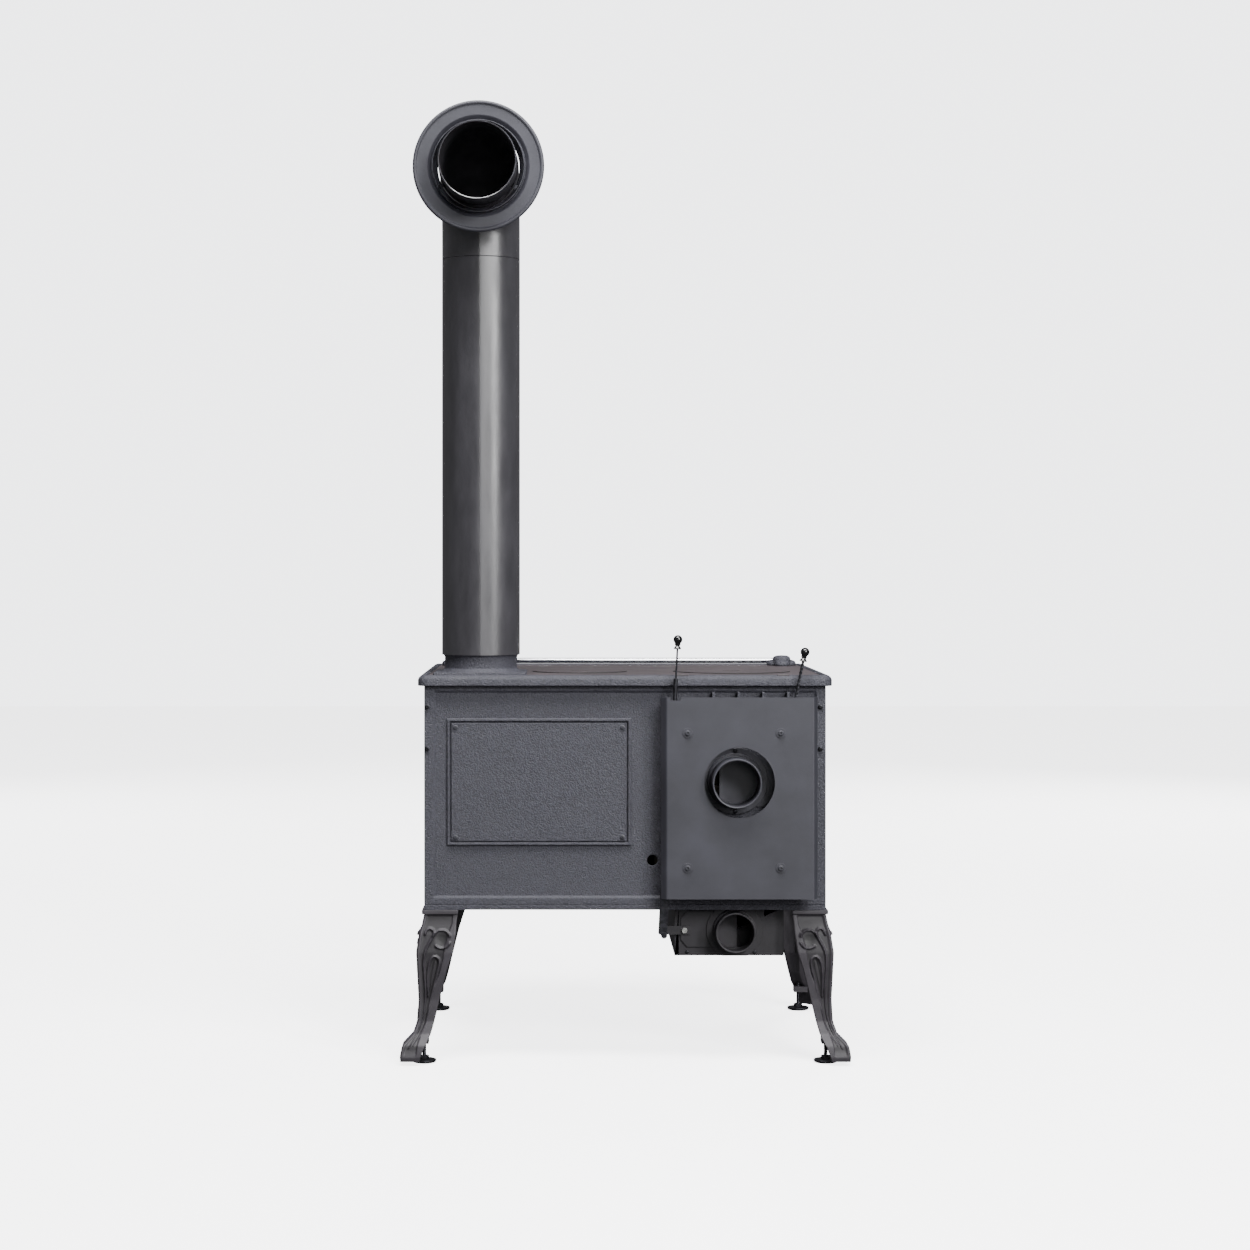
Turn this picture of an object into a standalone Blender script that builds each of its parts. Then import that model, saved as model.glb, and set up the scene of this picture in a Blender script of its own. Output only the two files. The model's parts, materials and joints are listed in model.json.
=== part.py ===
"""Wood burning cook stove: a cast-iron body on four cabriole legs, with its flue pipe and air controls.

Metres, +Z up. The front (doors) faces -Y and the wall side faces +Y, so +X is the right-hand side
of someone standing in front of the stove. Every sub-part is modelled around the centre of the
cooktop on the floor, and the empty "stove" shifts that centre so that the middle of the whole
object's footprint lies on the origin.
"""
import math

import bmesh
import bpy
from mathutils import Matrix, Vector

# Driving dimensions ---------------------------------------------------------------------------
GAP = 0.0003                     # clearance between neighbouring solids

TOP_WIDTH = 0.800                # cooktop
TOP_DEPTH = 0.600
TOP_Z = 0.746                    # upper face of the cooktop's raised rim
LIP_HEIGHT = 0.021
RIM_HEIGHT = 0.003
PLATE_THICK = 0.014              # cooktop plate between its surface and the pocket below
SURFACE_Z = TOP_Z - RIM_HEIGHT

BODY_WIDTH = 0.775               # cast body
BODY_DEPTH = 0.576
BODY_BASE_Z = 0.293
BASE_THICK = 0.010
SIDE_THICK = 0.010
REAR_THICK = 0.012
FRONT_THICK = 0.014
BODY_X = BODY_WIDTH / 2
BODY_Y = BODY_DEPTH / 2
LIP_Z = TOP_Z - LIP_HEIGHT
WALL_LOW_Z = BODY_BASE_Z + BASE_THICK + GAP
WALL_HIGH_Z = LIP_Z - GAP

RECESS_DEPTH = 0.004             # sunk panel of the rear plate
RECESS_X = 0.3665
RECESS_LOW_Z = 0.319
RECESS_HIGH_Z = 0.7126
RECESS_Y = BODY_Y - RECESS_DEPTH

COVER_X = (-0.0037, 0.3355)      # oven access cover on the rear plate
COVER_Z = (0.425, 0.654)
COVER_THICK = 0.004
COVER_BEAD = 0.0055
COVER_BEAD_GAP = 0.0016

FIN_X = (-0.170, -0.2185, -0.266, -0.314)
FIN_WIDTH = 0.0054
FIN_Y = 0.300

HOT_PLATES = {"hot_plate_large": (-0.221, 0.045, 0.118), "hot_plate_small": (0.086, 0.045, 0.095)}
HOT_PLATE_THICK = 0.0082
HOT_PLATE_SEAT = 0.008
HOT_PLATE_GAP = 0.001

FLUE_X = 0.282                   # flue axis
FLUE_Y = 0.160
PIPE_R = 0.077
PIPE_WALL = 0.002
PIPE_LOW_Z = 0.7815
PIPE_HIGH_Z = 1.561
ELBOW_AXIS_Z = 1.724
ELBOW_BEND_R = 0.125
OUTLET_R = 0.074
OUTLET_END_Y = 0.391
ROSETTE_R = 0.1265
ROSETTE_Y = 0.312

SHIELD_X = (-0.368, -0.068)      # rear heat shield
SHIELD_Z = (0.319, 0.705)
SHIELD_Y = 0.333
SHIELD_SHEET = 0.0025
SHIELD_BOLTS = [(x, z) for x in (-0.297, -0.119) for z in (0.379, 0.637)]

UPPER_AIR_X = -0.212             # upper combustion air inlet
UPPER_AIR_Z = 0.542
UPPER_SPIGOT_R = 0.047
LOWER_AIR_X = -0.213             # lower combustion air inlet
LOWER_AIR_Z = 0.2495
LOWER_SPIGOT_R = 0.0385
SPIGOT_WALL = 0.003

AIR_BOX_X = (-0.309, -0.097)     # ash and air box hung below the body
AIR_BOX_Y = (-0.262, 0.255)
AIR_BOX_Z = (0.200, BODY_BASE_Z - GAP)
BOX_SHEET = 0.0025

LOWER_LEVER_PIVOT = (-0.0898, 0.600)      # (x, z) of each air lever's pivot
LOWER_LEVER_TILT = math.atan2(0.029, 0.558)
UPPER_LEVER_PIVOT = (-0.3184, 0.660)
UPPER_LEVER_TILT = math.atan2(0.0266, 0.131)
LOWER_LINK_Z = 0.247
LEVER_Y = 0.3115
KNOB_HEIGHT = 0.027

FIREBOX_X = (-0.340, -0.080)     # openings in the front frame
FIREBOX_Z = (0.400, 0.650)
OVEN_X = (-0.030, 0.330)
OVEN_Z = (0.375, 0.650)
DOOR_THICK = 0.012
DOOR_LAP = 0.020
DOOR_Y = -BODY_Y - GAP - DOOR_THICK
HINGE_OFFSET = 0.0075
HINGE_Y = -0.298
HINGE_R = 0.006
PIN_R = 0.003

LEG_TOP_Z = BODY_BASE_Z - GAP
FOOT_SCREW = (0.387, 0.2875)
RAIL_Y = -0.345
RAIL_Z = 0.750
RAIL_R = 0.006
BRACKET_X = 0.348
BRACKET_Y = -0.247
BRACKET_BOSS_R = 0.009

STOVE_Y = (-RAIL_Y + BRACKET_BOSS_R - OUTLET_END_Y) / 2
AXES = {"X": (Vector((1, 0, 0)), Vector((0, 1, 0))),
        "Y": (Vector((0, 1, 0)), Vector((1, 0, 0))),
        "Z": (Vector((0, 0, 1)), Vector((1, 0, 0)))}


# Scene and modelling helpers --------------------------------------------------------------------
def clear_scene():
    for existing in list(bpy.data.objects):
        bpy.data.objects.remove(existing, do_unlink=True)


def make_material(name, colour, roughness, metallic=0.0):
    material = bpy.data.materials.new(name)
    material.use_nodes = True
    shader = material.node_tree.nodes["Principled BSDF"]
    shader.inputs["Base Color"].default_value = (*colour, 1.0)
    shader.inputs["Roughness"].default_value = roughness
    shader.inputs["Metallic"].default_value = metallic
    return material


def make_empty(name, location, parent=None):
    empty = bpy.data.objects.new(name, None)
    empty.empty_display_size = 0.03
    empty.location = location
    empty.parent = parent
    bpy.context.collection.objects.link(empty)
    return empty


def place_in_stove(empty):
    """An axis empty's place in stove coordinates: the sum of the locations below the stove empty."""
    place = Vector((0, 0, 0))
    while empty.parent is not None:
        place += empty.location
        empty = empty.parent
    return place


def finish(name, bm, material, parent, smooth=False):
    """Turn a mesh drawn in stove coordinates into an object whose origin is its parent's."""
    bmesh.ops.remove_doubles(bm, verts=bm.verts, dist=1e-6)
    bmesh.ops.recalc_face_normals(bm, faces=bm.faces)
    mesh = bpy.data.meshes.new(name)
    bm.to_mesh(mesh)
    bm.free()
    mesh.transform(Matrix.Translation(-place_in_stove(parent)))
    if material is not None:
        mesh.materials.append(material)
    if smooth:
        mesh.shade_smooth()
        mesh.set_sharp_from_angle(angle=math.radians(35))
    solid = bpy.data.objects.new(name, mesh)
    solid.parent = parent
    bpy.context.collection.objects.link(solid)
    return solid


def combine(solid, tool_bm, operation):
    """Cut a tool's volume from a solid, or join it on, with an exact Boolean modifier."""
    tool = finish(solid.name + "_" + operation.lower(), tool_bm, None, solid.parent)
    tool.hide_render = True
    tool.display_type = "WIRE"
    modifier = solid.modifiers.new(operation.title(), "BOOLEAN")
    modifier.operation = operation
    modifier.solver = "EXACT"
    modifier.object = tool
    return solid


def cut(solid, tool_bm):
    return combine(solid, tool_bm, "DIFFERENCE")


def fuse(solid, tool_bm):
    return combine(solid, tool_bm, "UNION")


def add_box(bm, low, high):
    low, high = Vector(low), Vector(high)
    corners = bmesh.ops.create_cube(bm, size=1.0)["verts"]
    bmesh.ops.scale(bm, vec=high - low, verts=corners)
    bmesh.ops.translate(bm, vec=(low + high) / 2, verts=corners)


def box(low, high):
    bm = bmesh.new()
    add_box(bm, low, high)
    return bm


def boxes(pairs):
    bm = bmesh.new()
    for low, high in pairs:
        add_box(bm, low, high)
    return bm


def loft(bm, rings, closed=False):
    """Skin a list of equally long vertex rings, capping the ends unless the list closes on itself."""
    loops = [[bm.verts.new(point) for point in ring] for ring in rings]
    pairs = list(zip(loops, loops[1:]))
    if closed:
        pairs.append((loops[-1], loops[0]))
    else:
        bm.faces.new(loops[0])
        bm.faces.new(reversed(loops[-1]))
    for lower, upper in pairs:
        count = len(lower)
        for i in range(count):
            j = (i + 1) % count
            bm.faces.new((lower[i], lower[j], upper[j], upper[i]))


def add_prism(bm, outline, axis, start, end):
    """Extrude an outline of 2-D points, given in the two other axes' order, along one axis."""
    def place(point, along):
        a, b = point
        return {"X": (along, a, b), "Y": (a, along, b), "Z": (a, b, along)}[axis]
    loft(bm, [[place(point, along) for point in outline] for along in (start, end)])


def prism(outline, axis, start, end):
    bm = bmesh.new()
    add_prism(bm, outline, axis, start, end)
    return bm


def add_turned(bm, profile, origin, axis, steps):
    """Spin a profile of (radius, height) points about an axis. It is a ring if it leaves the axis."""
    up, side = AXES[axis]
    origin = Vector(origin)
    points = [bm.verts.new(origin + side * radius + up * height) for radius, height in profile]
    edges = [bm.edges.new(pair) for pair in zip(points, points[1:])]
    if profile[0][0] > 0:
        edges.append(bm.edges.new((points[-1], points[0])))
    bmesh.ops.spin(bm, geom=points + edges, cent=origin, axis=up, angle=math.tau, steps=steps,
                   use_merge=True)


def turned(profile, origin, axis, steps):
    bm = bmesh.new()
    add_turned(bm, profile, origin, axis, steps)
    return bm


def rod(bm, radius, origin, axis, start, end, steps=16):
    add_turned(bm, [(0, start), (radius, start), (radius, end), (0, end)], origin, axis, steps)


def rods(radius, origins, axis, start, end, steps=16):
    bm = bmesh.new()
    for origin in origins:
        rod(bm, radius, origin, axis, start, end, steps)
    return bm


def rounded_rectangle(half_x, half_y, radius, z, corner_steps=3):
    points = []
    for quarter, (sx, sy) in enumerate(((1, 1), (-1, 1), (-1, -1), (1, -1))):
        for step in range(corner_steps + 1):
            angle = math.radians(90) * (quarter + step / corner_steps)
            points.append((sx * (half_x - radius) + radius * math.cos(angle),
                           sy * (half_y - radius) + radius * math.sin(angle), z))
    return points


def frame_ring(low, high, width, y_start, y_end):
    """A rectangular bead in the XZ plane, between its outer rectangle and one drawn in by width."""
    bm = bmesh.new()
    outer = [(low[0], low[1]), (high[0], low[1]), (high[0], high[1]), (low[0], high[1])]
    inner = [(low[0] + width, low[1] + width), (high[0] - width, low[1] + width),
             (high[0] - width, high[1] - width), (low[0] + width, high[1] - width)]
    rings = []
    for outline, y in ((outer, y_start), (outer, y_end), (inner, y_end), (inner, y_start)):
        rings.append([(x, y, z) for x, z in outline])
    loft(bm, rings, closed=True)
    return bm


def arc(centre_a, centre_b, radius, start, end, steps):
    """Points of an arc in a plane, from one angle in degrees to another."""
    angles = [math.radians(start + (end - start) * i / steps) for i in range(steps + 1)]
    return [(centre_a + radius * math.cos(t), centre_b + radius * math.sin(t)) for t in angles]


# Body -------------------------------------------------------------------------------------------
def make_base_plate(stove, cast):
    plate = finish("base_plate", box((-BODY_X, -BODY_Y, BODY_BASE_Z),
                                     (BODY_X, BODY_Y, BODY_BASE_Z + BASE_THICK)), cast, stove)
    ash_hole = box((AIR_BOX_X[0] + 0.009, -0.200, BODY_BASE_Z - 0.001),
                   (AIR_BOX_X[1] - 0.009, 0.200, WALL_LOW_Z + 0.001))
    cut(plate, ash_hole)


def make_side_plate(name, side, stove, cast):
    inner, outer = BODY_X - SIDE_THICK, BODY_X
    low_y, high_y = -BODY_Y + FRONT_THICK + GAP, BODY_Y - REAR_THICK - GAP
    xs = sorted((side * inner, side * outer))
    plate = finish(name, box((xs[0], low_y, WALL_LOW_Z), (xs[1], high_y, WALL_HIGH_Z)), cast, stove)
    sunk = sorted((side * (outer - 0.003), side * (outer + 0.001)))
    cut(plate, box((sunk[0], low_y + 0.024, RECESS_LOW_Z), (sunk[1], high_y - 0.024, RECESS_HIGH_Z)))


def make_rear_plate(stove, cast):
    plate = finish("rear_plate", box((-BODY_X, BODY_Y - REAR_THICK, WALL_LOW_Z),
                                     (BODY_X, BODY_Y, WALL_HIGH_Z)), cast, stove)
    cut(plate, box((-RECESS_X, RECESS_Y, RECESS_LOW_Z), (RECESS_X, BODY_Y + 0.001, RECESS_HIGH_Z)))

    raised = frame_ring((COVER_X[0] - COVER_BEAD - COVER_BEAD_GAP, COVER_Z[0] - COVER_BEAD - COVER_BEAD_GAP),
                        (COVER_X[1] + COVER_BEAD + COVER_BEAD_GAP, COVER_Z[1] + COVER_BEAD + COVER_BEAD_GAP),
                        COVER_BEAD, RECESS_Y - 0.002, BODY_Y)
    for x in FIN_X:
        for low_z, high_z in ((0.680, RECESS_HIGH_Z + 0.001), (0.335, 0.450)):
            add_box(raised, (x - FIN_WIDTH / 2, RECESS_Y - 0.002, low_z),
                    (x + FIN_WIDTH / 2, FIN_Y, high_z))
    fuse(plate, raised)

    y_in, y_out = BODY_Y - REAR_THICK - 0.001, BODY_Y + 0.001
    holes = box((0.020, y_in, 0.440), (0.320, y_out, 0.640))
    rod(holes, 0.0105, (-0.053, 0, 0.388), "Y", y_in, y_out, 24)
    rod(holes, 0.042, (UPPER_AIR_X, 0, UPPER_AIR_Z), "Y", y_in, y_out, 32)
    for x, z in cover_screw_places():
        rod(holes, 0.0024, (x, 0, z), "Y", y_in, y_out, 12)
    for x, z in side_bolt_places():
        rod(holes, 0.0034, (x, 0, z), "Y", BODY_Y - 0.006, y_out, 12)
    cut(plate, holes)


def make_front_frame(stove, cast):
    frame = finish("front_frame", box((-BODY_X, -BODY_Y, WALL_LOW_Z),
                                      (BODY_X, -BODY_Y + FRONT_THICK, WALL_HIGH_Z)), cast, stove)
    y_out, y_in = -BODY_Y - 0.001, -BODY_Y + FRONT_THICK + 0.001
    cut(frame, boxes([((FIREBOX_X[0], y_out, FIREBOX_Z[0]), (FIREBOX_X[1], y_in, FIREBOX_Z[1])),
                      ((OVEN_X[0], y_out, OVEN_Z[0]), (OVEN_X[1], y_in, OVEN_Z[1]))]))
    lugs = bmesh.new()
    pins = bmesh.new()
    for x, z in hinge_places():
        outline = [(x + HINGE_R, -BODY_Y + 0.001), (x - HINGE_R, -BODY_Y + 0.001)]
        outline += arc(x, HINGE_Y, HINGE_R, 180, 360, 8)
        add_prism(lugs, outline, "Z", z - 0.012, z)
        rod(pins, PIN_R, (x, HINGE_Y, z), "Z", -0.006, 0.024, 12)
    fuse(frame, lugs)
    fuse(frame, pins)


def door_edges(opening_x, opening_z):
    return ((opening_x[0] - DOOR_LAP, opening_x[1] + DOOR_LAP),
            (opening_z[0] - DOOR_LAP, opening_z[1] + DOOR_LAP))


def hinge_places():
    """(x, z) of each hinge lug's upper face: two for the firebox door and two for the oven door."""
    places = []
    for opening_x, opening_z, side in ((FIREBOX_X, FIREBOX_Z, 0), (OVEN_X, OVEN_Z, 1)):
        (edge_x, edge_z) = door_edges(opening_x, opening_z)
        x = edge_x[side] + (HINGE_OFFSET if side else -HINGE_OFFSET)
        places += [(x, edge_z[0] + 0.045), (x, edge_z[1] - 0.065)]
    return places


def make_cooktop(stove, cast):
    half_x, half_y = TOP_WIDTH / 2, TOP_DEPTH / 2
    levels = [(LIP_Z, 0.0010), (LIP_Z + 0.0015, 0.0), (TOP_Z - 0.009, 0.0), (TOP_Z - 0.0045, 0.0022),
              (TOP_Z - 0.0012, 0.0058), (TOP_Z, 0.0098), (TOP_Z, 0.0158), (SURFACE_Z, 0.0172)]
    bm = bmesh.new()
    loft(bm, [rounded_rectangle(half_x - inset, half_y - inset, 0.020 - inset, z) for z, inset in levels])
    top = finish("cooktop", bm, cast, stove)
    ceiling = SURFACE_Z - PLATE_THICK
    cut(top, box((-0.360, -0.262, LIP_Z - 0.001), (0.360, 0.262, ceiling)))

    seats = bmesh.new()
    throats = bmesh.new()
    for x, y, radius in HOT_PLATES.values():
        rod(seats, radius + HOT_PLATE_GAP, (x, y, 0), "Z",
            SURFACE_Z - HOT_PLATE_THICK - 2 * GAP, TOP_Z, 36)
        rod(throats, radius - HOT_PLATE_SEAT, (x, y, 0), "Z", ceiling - 0.001, TOP_Z, 36)
    rod(throats, 0.066, (FLUE_X, FLUE_Y, 0), "Z", ceiling - 0.001, TOP_Z, 24)
    cut(top, seats)
    cut(top, throats)


def make_hot_plates(stove, cast):
    for name, (x, y, radius) in HOT_PLATES.items():
        axis = make_empty(name + "_lift", (x, y, SURFACE_Z), stove)
        top_z = SURFACE_Z - GAP
        low_z = top_z - HOT_PLATE_THICK
        profile = [(0, low_z), (radius - 0.001, low_z), (radius, low_z + 0.001),
                   (radius, top_z - 0.001), (radius - 0.001, top_z), (0, top_z)]
        plate = finish(name, turned(profile, (x, y, 0), "Z", 36), cast, axis, smooth=True)
        cut(plate, box((x - 0.018, y - 0.006, top_z - 0.004), (x + 0.018, y + 0.006, top_z + 0.001)))


def make_oven_access(stove, cast, bolt):
    y = RECESS_Y + GAP
    cover = finish("oven_access_cover", box((COVER_X[0], y, COVER_Z[0]),
                                            (COVER_X[1], y + COVER_THICK, COVER_Z[1])), cast, stove)
    places = cover_screw_places()
    cut(cover, rods(0.0024, [(x, 0, z) for x, z in places], "Y", y - 0.001, y + COVER_THICK + 0.001, 12))
    seat = y + COVER_THICK + GAP
    head = [(0, seat - 0.011), (0.0020, seat - 0.011), (0.0020, seat), (0.0043, seat),
            (0.0043, seat + 0.0012), (0.0025, seat + 0.0026), (0, seat + 0.0028)]
    for number, (x, z) in enumerate(places, start=1):
        finish(f"cover_screw_{number}", turned(head, (x, 0, z), "Y", 12), bolt, stove, smooth=True)


def cover_screw_places():
    return [(x, z) for x in (0.005, 0.327) for z in (0.433, 0.645)]


def side_bolt_places():
    return [(x, z) for x in (-0.377, 0.3815) for z in (0.604, 0.685)]


def make_side_bolts(stove, bolt):
    seat = BODY_Y + GAP
    head = [(0, seat - 0.005), (0.0030, seat - 0.005), (0.0030, seat), (0.0048, seat),
            (0.0048, seat + 0.0022), (0.0030, seat + 0.0038), (0, seat + 0.0042)]
    for number, (x, z) in enumerate(side_bolt_places(), start=1):
        finish(f"side_bolt_{number}", turned(head, (x, 0, z), "Y", 12), bolt, stove, smooth=True)


# Firebox and oven -------------------------------------------------------------------------------
def make_firebox(stove, brick, cast, steel):
    low_x, high_x, wall = -0.360, -0.058, 0.022
    low_y, high_y = -BODY_Y + FRONT_THICK + 0.004, BODY_Y - REAR_THICK - 0.010
    liner = finish("firebox_liner", box((low_x, low_y, WALL_LOW_Z), (high_x, high_y, 0.640)), brick, stove)
    cut(liner, boxes([((low_x + wall, low_y - 0.001, WALL_LOW_Z - 0.001),
                       (high_x - wall, high_y - wall, 0.641)),
                      ((UPPER_AIR_X - 0.045, high_y - wall - 0.001, UPPER_AIR_Z - 0.010),
                       (UPPER_AIR_X + 0.045, high_y + 0.001, UPPER_AIR_Z + 0.010))]))

    grate_x, grate_y, grate_z = (low_x + wall + 0.002, high_x - wall - 0.002), (-0.235, 0.225), (0.385, 0.397)
    grate = finish("grate", box((grate_x[0], grate_y[0], grate_z[0]), (grate_x[1], grate_y[1], grate_z[1])),
                   cast, stove)
    slots = bmesh.new()
    for row_y in (-0.210, 0.010):
        for column in range(9):
            x = grate_x[0] + 0.028 + column * 0.0238
            add_box(slots, (x - 0.006, row_y, grate_z[0] - 0.001), (x + 0.006, row_y + 0.190, grate_z[1] + 0.001))
    cut(grate, slots)
    fuse(grate, boxes([((x, y, WALL_LOW_Z), (x + 0.012, y + 0.012, grate_z[0] + 0.002))
                       for x in (grate_x[0] + 0.001, grate_x[1] - 0.013)
                       for y in (grate_y[0] + 0.001, grate_y[1] - 0.013)]))

    finish("baffle_plate", box((low_x, -0.170, 0.6403), (high_x, high_y, 0.6483)), steel, stove)


def make_oven(stove, steel, wire):
    sheet = 0.003
    low = (OVEN_X[0] - 0.006, -BODY_Y + FRONT_THICK + GAP, OVEN_Z[0] - 0.006)
    high = (OVEN_X[1] + 0.006, 0.235, OVEN_Z[1] + 0.006)
    oven = finish("oven_box", box(low, high), steel, stove)
    inner_low = (low[0] + sheet, low[1] - 0.001, low[2] + sheet)
    inner_high = (high[0] - sheet, high[1] - sheet, high[2] - sheet)
    cut(oven, box(inner_low, inner_high))
    runner_z = 0.497
    fuse(oven, boxes([((inner_low[0] - 0.001, low[1] + 0.020, runner_z - 0.003),
                       (inner_low[0] + 0.010, 0.200, runner_z)),
                      ((inner_high[0] - 0.010, low[1] + 0.020, runner_z - 0.003),
                       (inner_high[0] + 0.001, 0.200, runner_z))]))

    rack_x = (inner_low[0] + 0.002, inner_high[0] - 0.002)
    rack_y = (-0.190, 0.215)
    bar = 0.005
    slide = make_empty("oven_rack_slide", ((rack_x[0] + rack_x[1]) / 2, rack_y[0], runner_z), stove)
    low_z, high_z = runner_z + GAP, runner_z + GAP + bar
    bm = bmesh.new()
    rings = []
    for inset, z in ((0, low_z), (0, high_z), (bar, high_z), (bar, low_z)):
        rings.append([(rack_x[0] + inset, rack_y[0] + inset, z), (rack_x[1] - inset, rack_y[0] + inset, z),
                      (rack_x[1] - inset, rack_y[1] - inset, z), (rack_x[0] + inset, rack_y[1] - inset, z)])
    loft(bm, rings, closed=True)
    rack = finish("oven_rack", bm, wire, slide)
    count = 11
    bars = bmesh.new()
    for number in range(1, count + 1):
        x = rack_x[0] + (rack_x[1] - rack_x[0]) * number / (count + 1)
        add_box(bars, (x - 0.0018, rack_y[0] + 0.001, low_z + 0.0008),
                (x + 0.0018, rack_y[1] - 0.001, high_z - 0.0008))
    fuse(rack, bars)


def make_door(name, opening_x, opening_z, side, stove, cast):
    """A lapped plate with two hinge barrels on one edge. side is 0 for the left edge, 1 for the right."""
    edge_x, edge_z = door_edges(opening_x, opening_z)
    sign = 1 if side else -1
    hinge_x = edge_x[side] + sign * HINGE_OFFSET
    axis = make_empty(name + "_hinge", (hinge_x, HINGE_Y, edge_z[0]), stove)
    door = finish(name, box((edge_x[0], DOOR_Y, edge_z[0]), (edge_x[1], DOOR_Y + DOOR_THICK, edge_z[1])),
                  cast, axis)
    barrels, bores = bmesh.new(), bmesh.new()
    for x, z in hinge_places():
        if abs(x - hinge_x) < GAP:
            reach = x - sign * (HINGE_OFFSET + 0.002)
            web_y = (DOOR_Y + 0.0006, HINGE_Y + HINGE_R)
            outline = arc(x, HINGE_Y, HINGE_R, 90, 90 - sign * 150, 9) + [(reach, web_y[0]), (reach, web_y[1])]
            add_prism(barrels, outline, "Z", z + 0.0005, z + 0.030)
            rod(bores, PIN_R + GAP, (x, HINGE_Y, 0), "Z", z - 0.001, z + 0.026, 12)
    fuse(door, barrels)
    cut(door, bores)
    return door, axis


def make_handle(name, x, z, door, door_axis, material):
    """A latch handle: its shaft goes through the door and its grip hangs straight down."""
    cut(door, rods(0.0066, [(x, 0, z)], "Y", DOOR_Y - 0.001, DOOR_Y + DOOR_THICK + 0.001, 16))
    pivot = make_empty(name + "_turn", Vector((x, DOOR_Y, z)) - door_axis.location, door_axis)
    front = DOOR_Y - GAP
    profile = [(0, front - 0.024), (0.009, front - 0.024), (0.011, front - 0.021), (0.011, front),
               (0.006, front), (0.006, DOOR_Y + DOOR_THICK - 0.001), (0, DOOR_Y + DOOR_THICK - 0.001)]
    handle = finish(name, turned(profile, (x, 0, z), "Y", 14), material, pivot, smooth=True)
    grip = [(0.0046, -0.004), (0.0050, -0.030), (0.0072, -0.050), (0.0078, -0.080), (0.0060, -0.094), (0, -0.097)]
    fuse(handle, turned([(0, -0.004)] + grip, (x, front - 0.014, z), "Z", 12))


def make_doors(stove, cast, glass, grip):
    door, axis = make_door("firebox_door", FIREBOX_X, FIREBOX_Z, 0, stove, cast)
    window_x, window_z, rebate = (-0.305, -0.125), (0.445, 0.605), 0.009
    cut(door, box((window_x[0], DOOR_Y - 0.001, window_z[0]), (window_x[1], -BODY_Y, window_z[1])))
    cut(door, box((window_x[0] - rebate, DOOR_Y + 0.006, window_z[0] - rebate),
                  (window_x[1] + rebate, -BODY_Y, window_z[1] + rebate)))
    edge = rebate - GAP
    finish("firebox_glass", box((window_x[0] - edge, DOOR_Y + 0.006 + GAP, window_z[0] - edge),
                                (window_x[1] + edge, DOOR_Y + 0.0105, window_z[1] + edge)), glass, axis)
    make_handle("firebox_handle", -0.082, 0.535, door, axis, grip)

    door, axis = make_door("oven_door", OVEN_X, OVEN_Z, 1, stove, cast)
    make_handle("oven_handle", -0.026, 0.535, door, axis, grip)


# Flue -------------------------------------------------------------------------------------------
def make_flue(stove, cast, steel):
    base_z = SURFACE_Z + GAP
    flange = finish("flue_collar", box((FLUE_X - 0.0905, FLUE_Y - 0.0905, base_z),
                                       (FLUE_X + 0.0905, FLUE_Y + 0.0905, base_z + 0.005)), cast, stove)
    fuse(flange, turned([(0.064, base_z + 0.001), (0.0735, base_z + 0.001), (0.0715, base_z + 0.007),
                         (0.0715, PIPE_LOW_Z - 0.004), (0.0745, PIPE_LOW_Z + 0.001),
                         (0.0745, PIPE_LOW_Z + 0.036), (0.0705, PIPE_LOW_Z + 0.036)],
                        (FLUE_X, FLUE_Y, 0), "Z", 28))
    cut(flange, rods(0.0660, [(FLUE_X, FLUE_Y, 0)], "Z", base_z - 0.001, base_z + 0.012, 28))

    inner = PIPE_R - PIPE_WALL
    finish("flue_pipe", turned([(inner, PIPE_LOW_Z), (PIPE_R, PIPE_LOW_Z), (PIPE_R, PIPE_HIGH_Z),
                                (inner, PIPE_HIGH_Z)], (FLUE_X, FLUE_Y, 0), "Z", 36), steel, stove, smooth=True)
    make_elbow(stove, steel)
    make_rosette(stove, steel)


def elbow_ring(angle, offset, radius, steps=28):
    """A ring across the elbow: angle runs from 0 (vertical) to 90 (horizontal), offset runs past it."""
    bend_y, bend_z = FLUE_Y + ELBOW_BEND_R, ELBOW_AXIS_Z - ELBOW_BEND_R
    turn = math.radians(angle)
    across = Vector((0, -math.cos(turn), math.sin(turn)))
    along = Vector((0, math.sin(turn), math.cos(turn)))
    centre = Vector((FLUE_X, bend_y, bend_z)) + across * ELBOW_BEND_R + along * offset
    points = []
    for step in range(steps):
        around = math.tau * step / steps
        points.append(centre + Vector((radius * math.cos(around), 0, 0)) + across * radius * math.sin(around))
    return points


def make_elbow(stove, steel):
    start = PIPE_HIGH_Z + 2 * GAP - (ELBOW_AXIS_Z - ELBOW_BEND_R)
    end = OUTLET_END_Y - (FLUE_Y + ELBOW_BEND_R)
    bend = [15 * i for i in range(7)]
    sleeve_r = PIPE_R - PIPE_WALL - 0.0005
    stations = [(0, start - 0.030, sleeve_r), (0, start, sleeve_r), (0, start, PIPE_R)]
    stations += [(angle, 0, PIPE_R) for angle in bend]
    stations += [(90, 0.012, PIPE_R), (90, 0.016, OUTLET_R), (90, end, OUTLET_R)]
    inside = [(90, end, OUTLET_R - PIPE_WALL), (90, 0.012, OUTLET_R - PIPE_WALL)]
    inside += [(angle, 0, sleeve_r - PIPE_WALL) for angle in reversed(bend)]
    inside += [(0, start - 0.030, sleeve_r - PIPE_WALL)]
    bm = bmesh.new()
    loft(bm, [elbow_ring(*station) for station in stations + inside], closed=True)
    finish("flue_elbow", bm, steel, stove, smooth=True)


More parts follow.
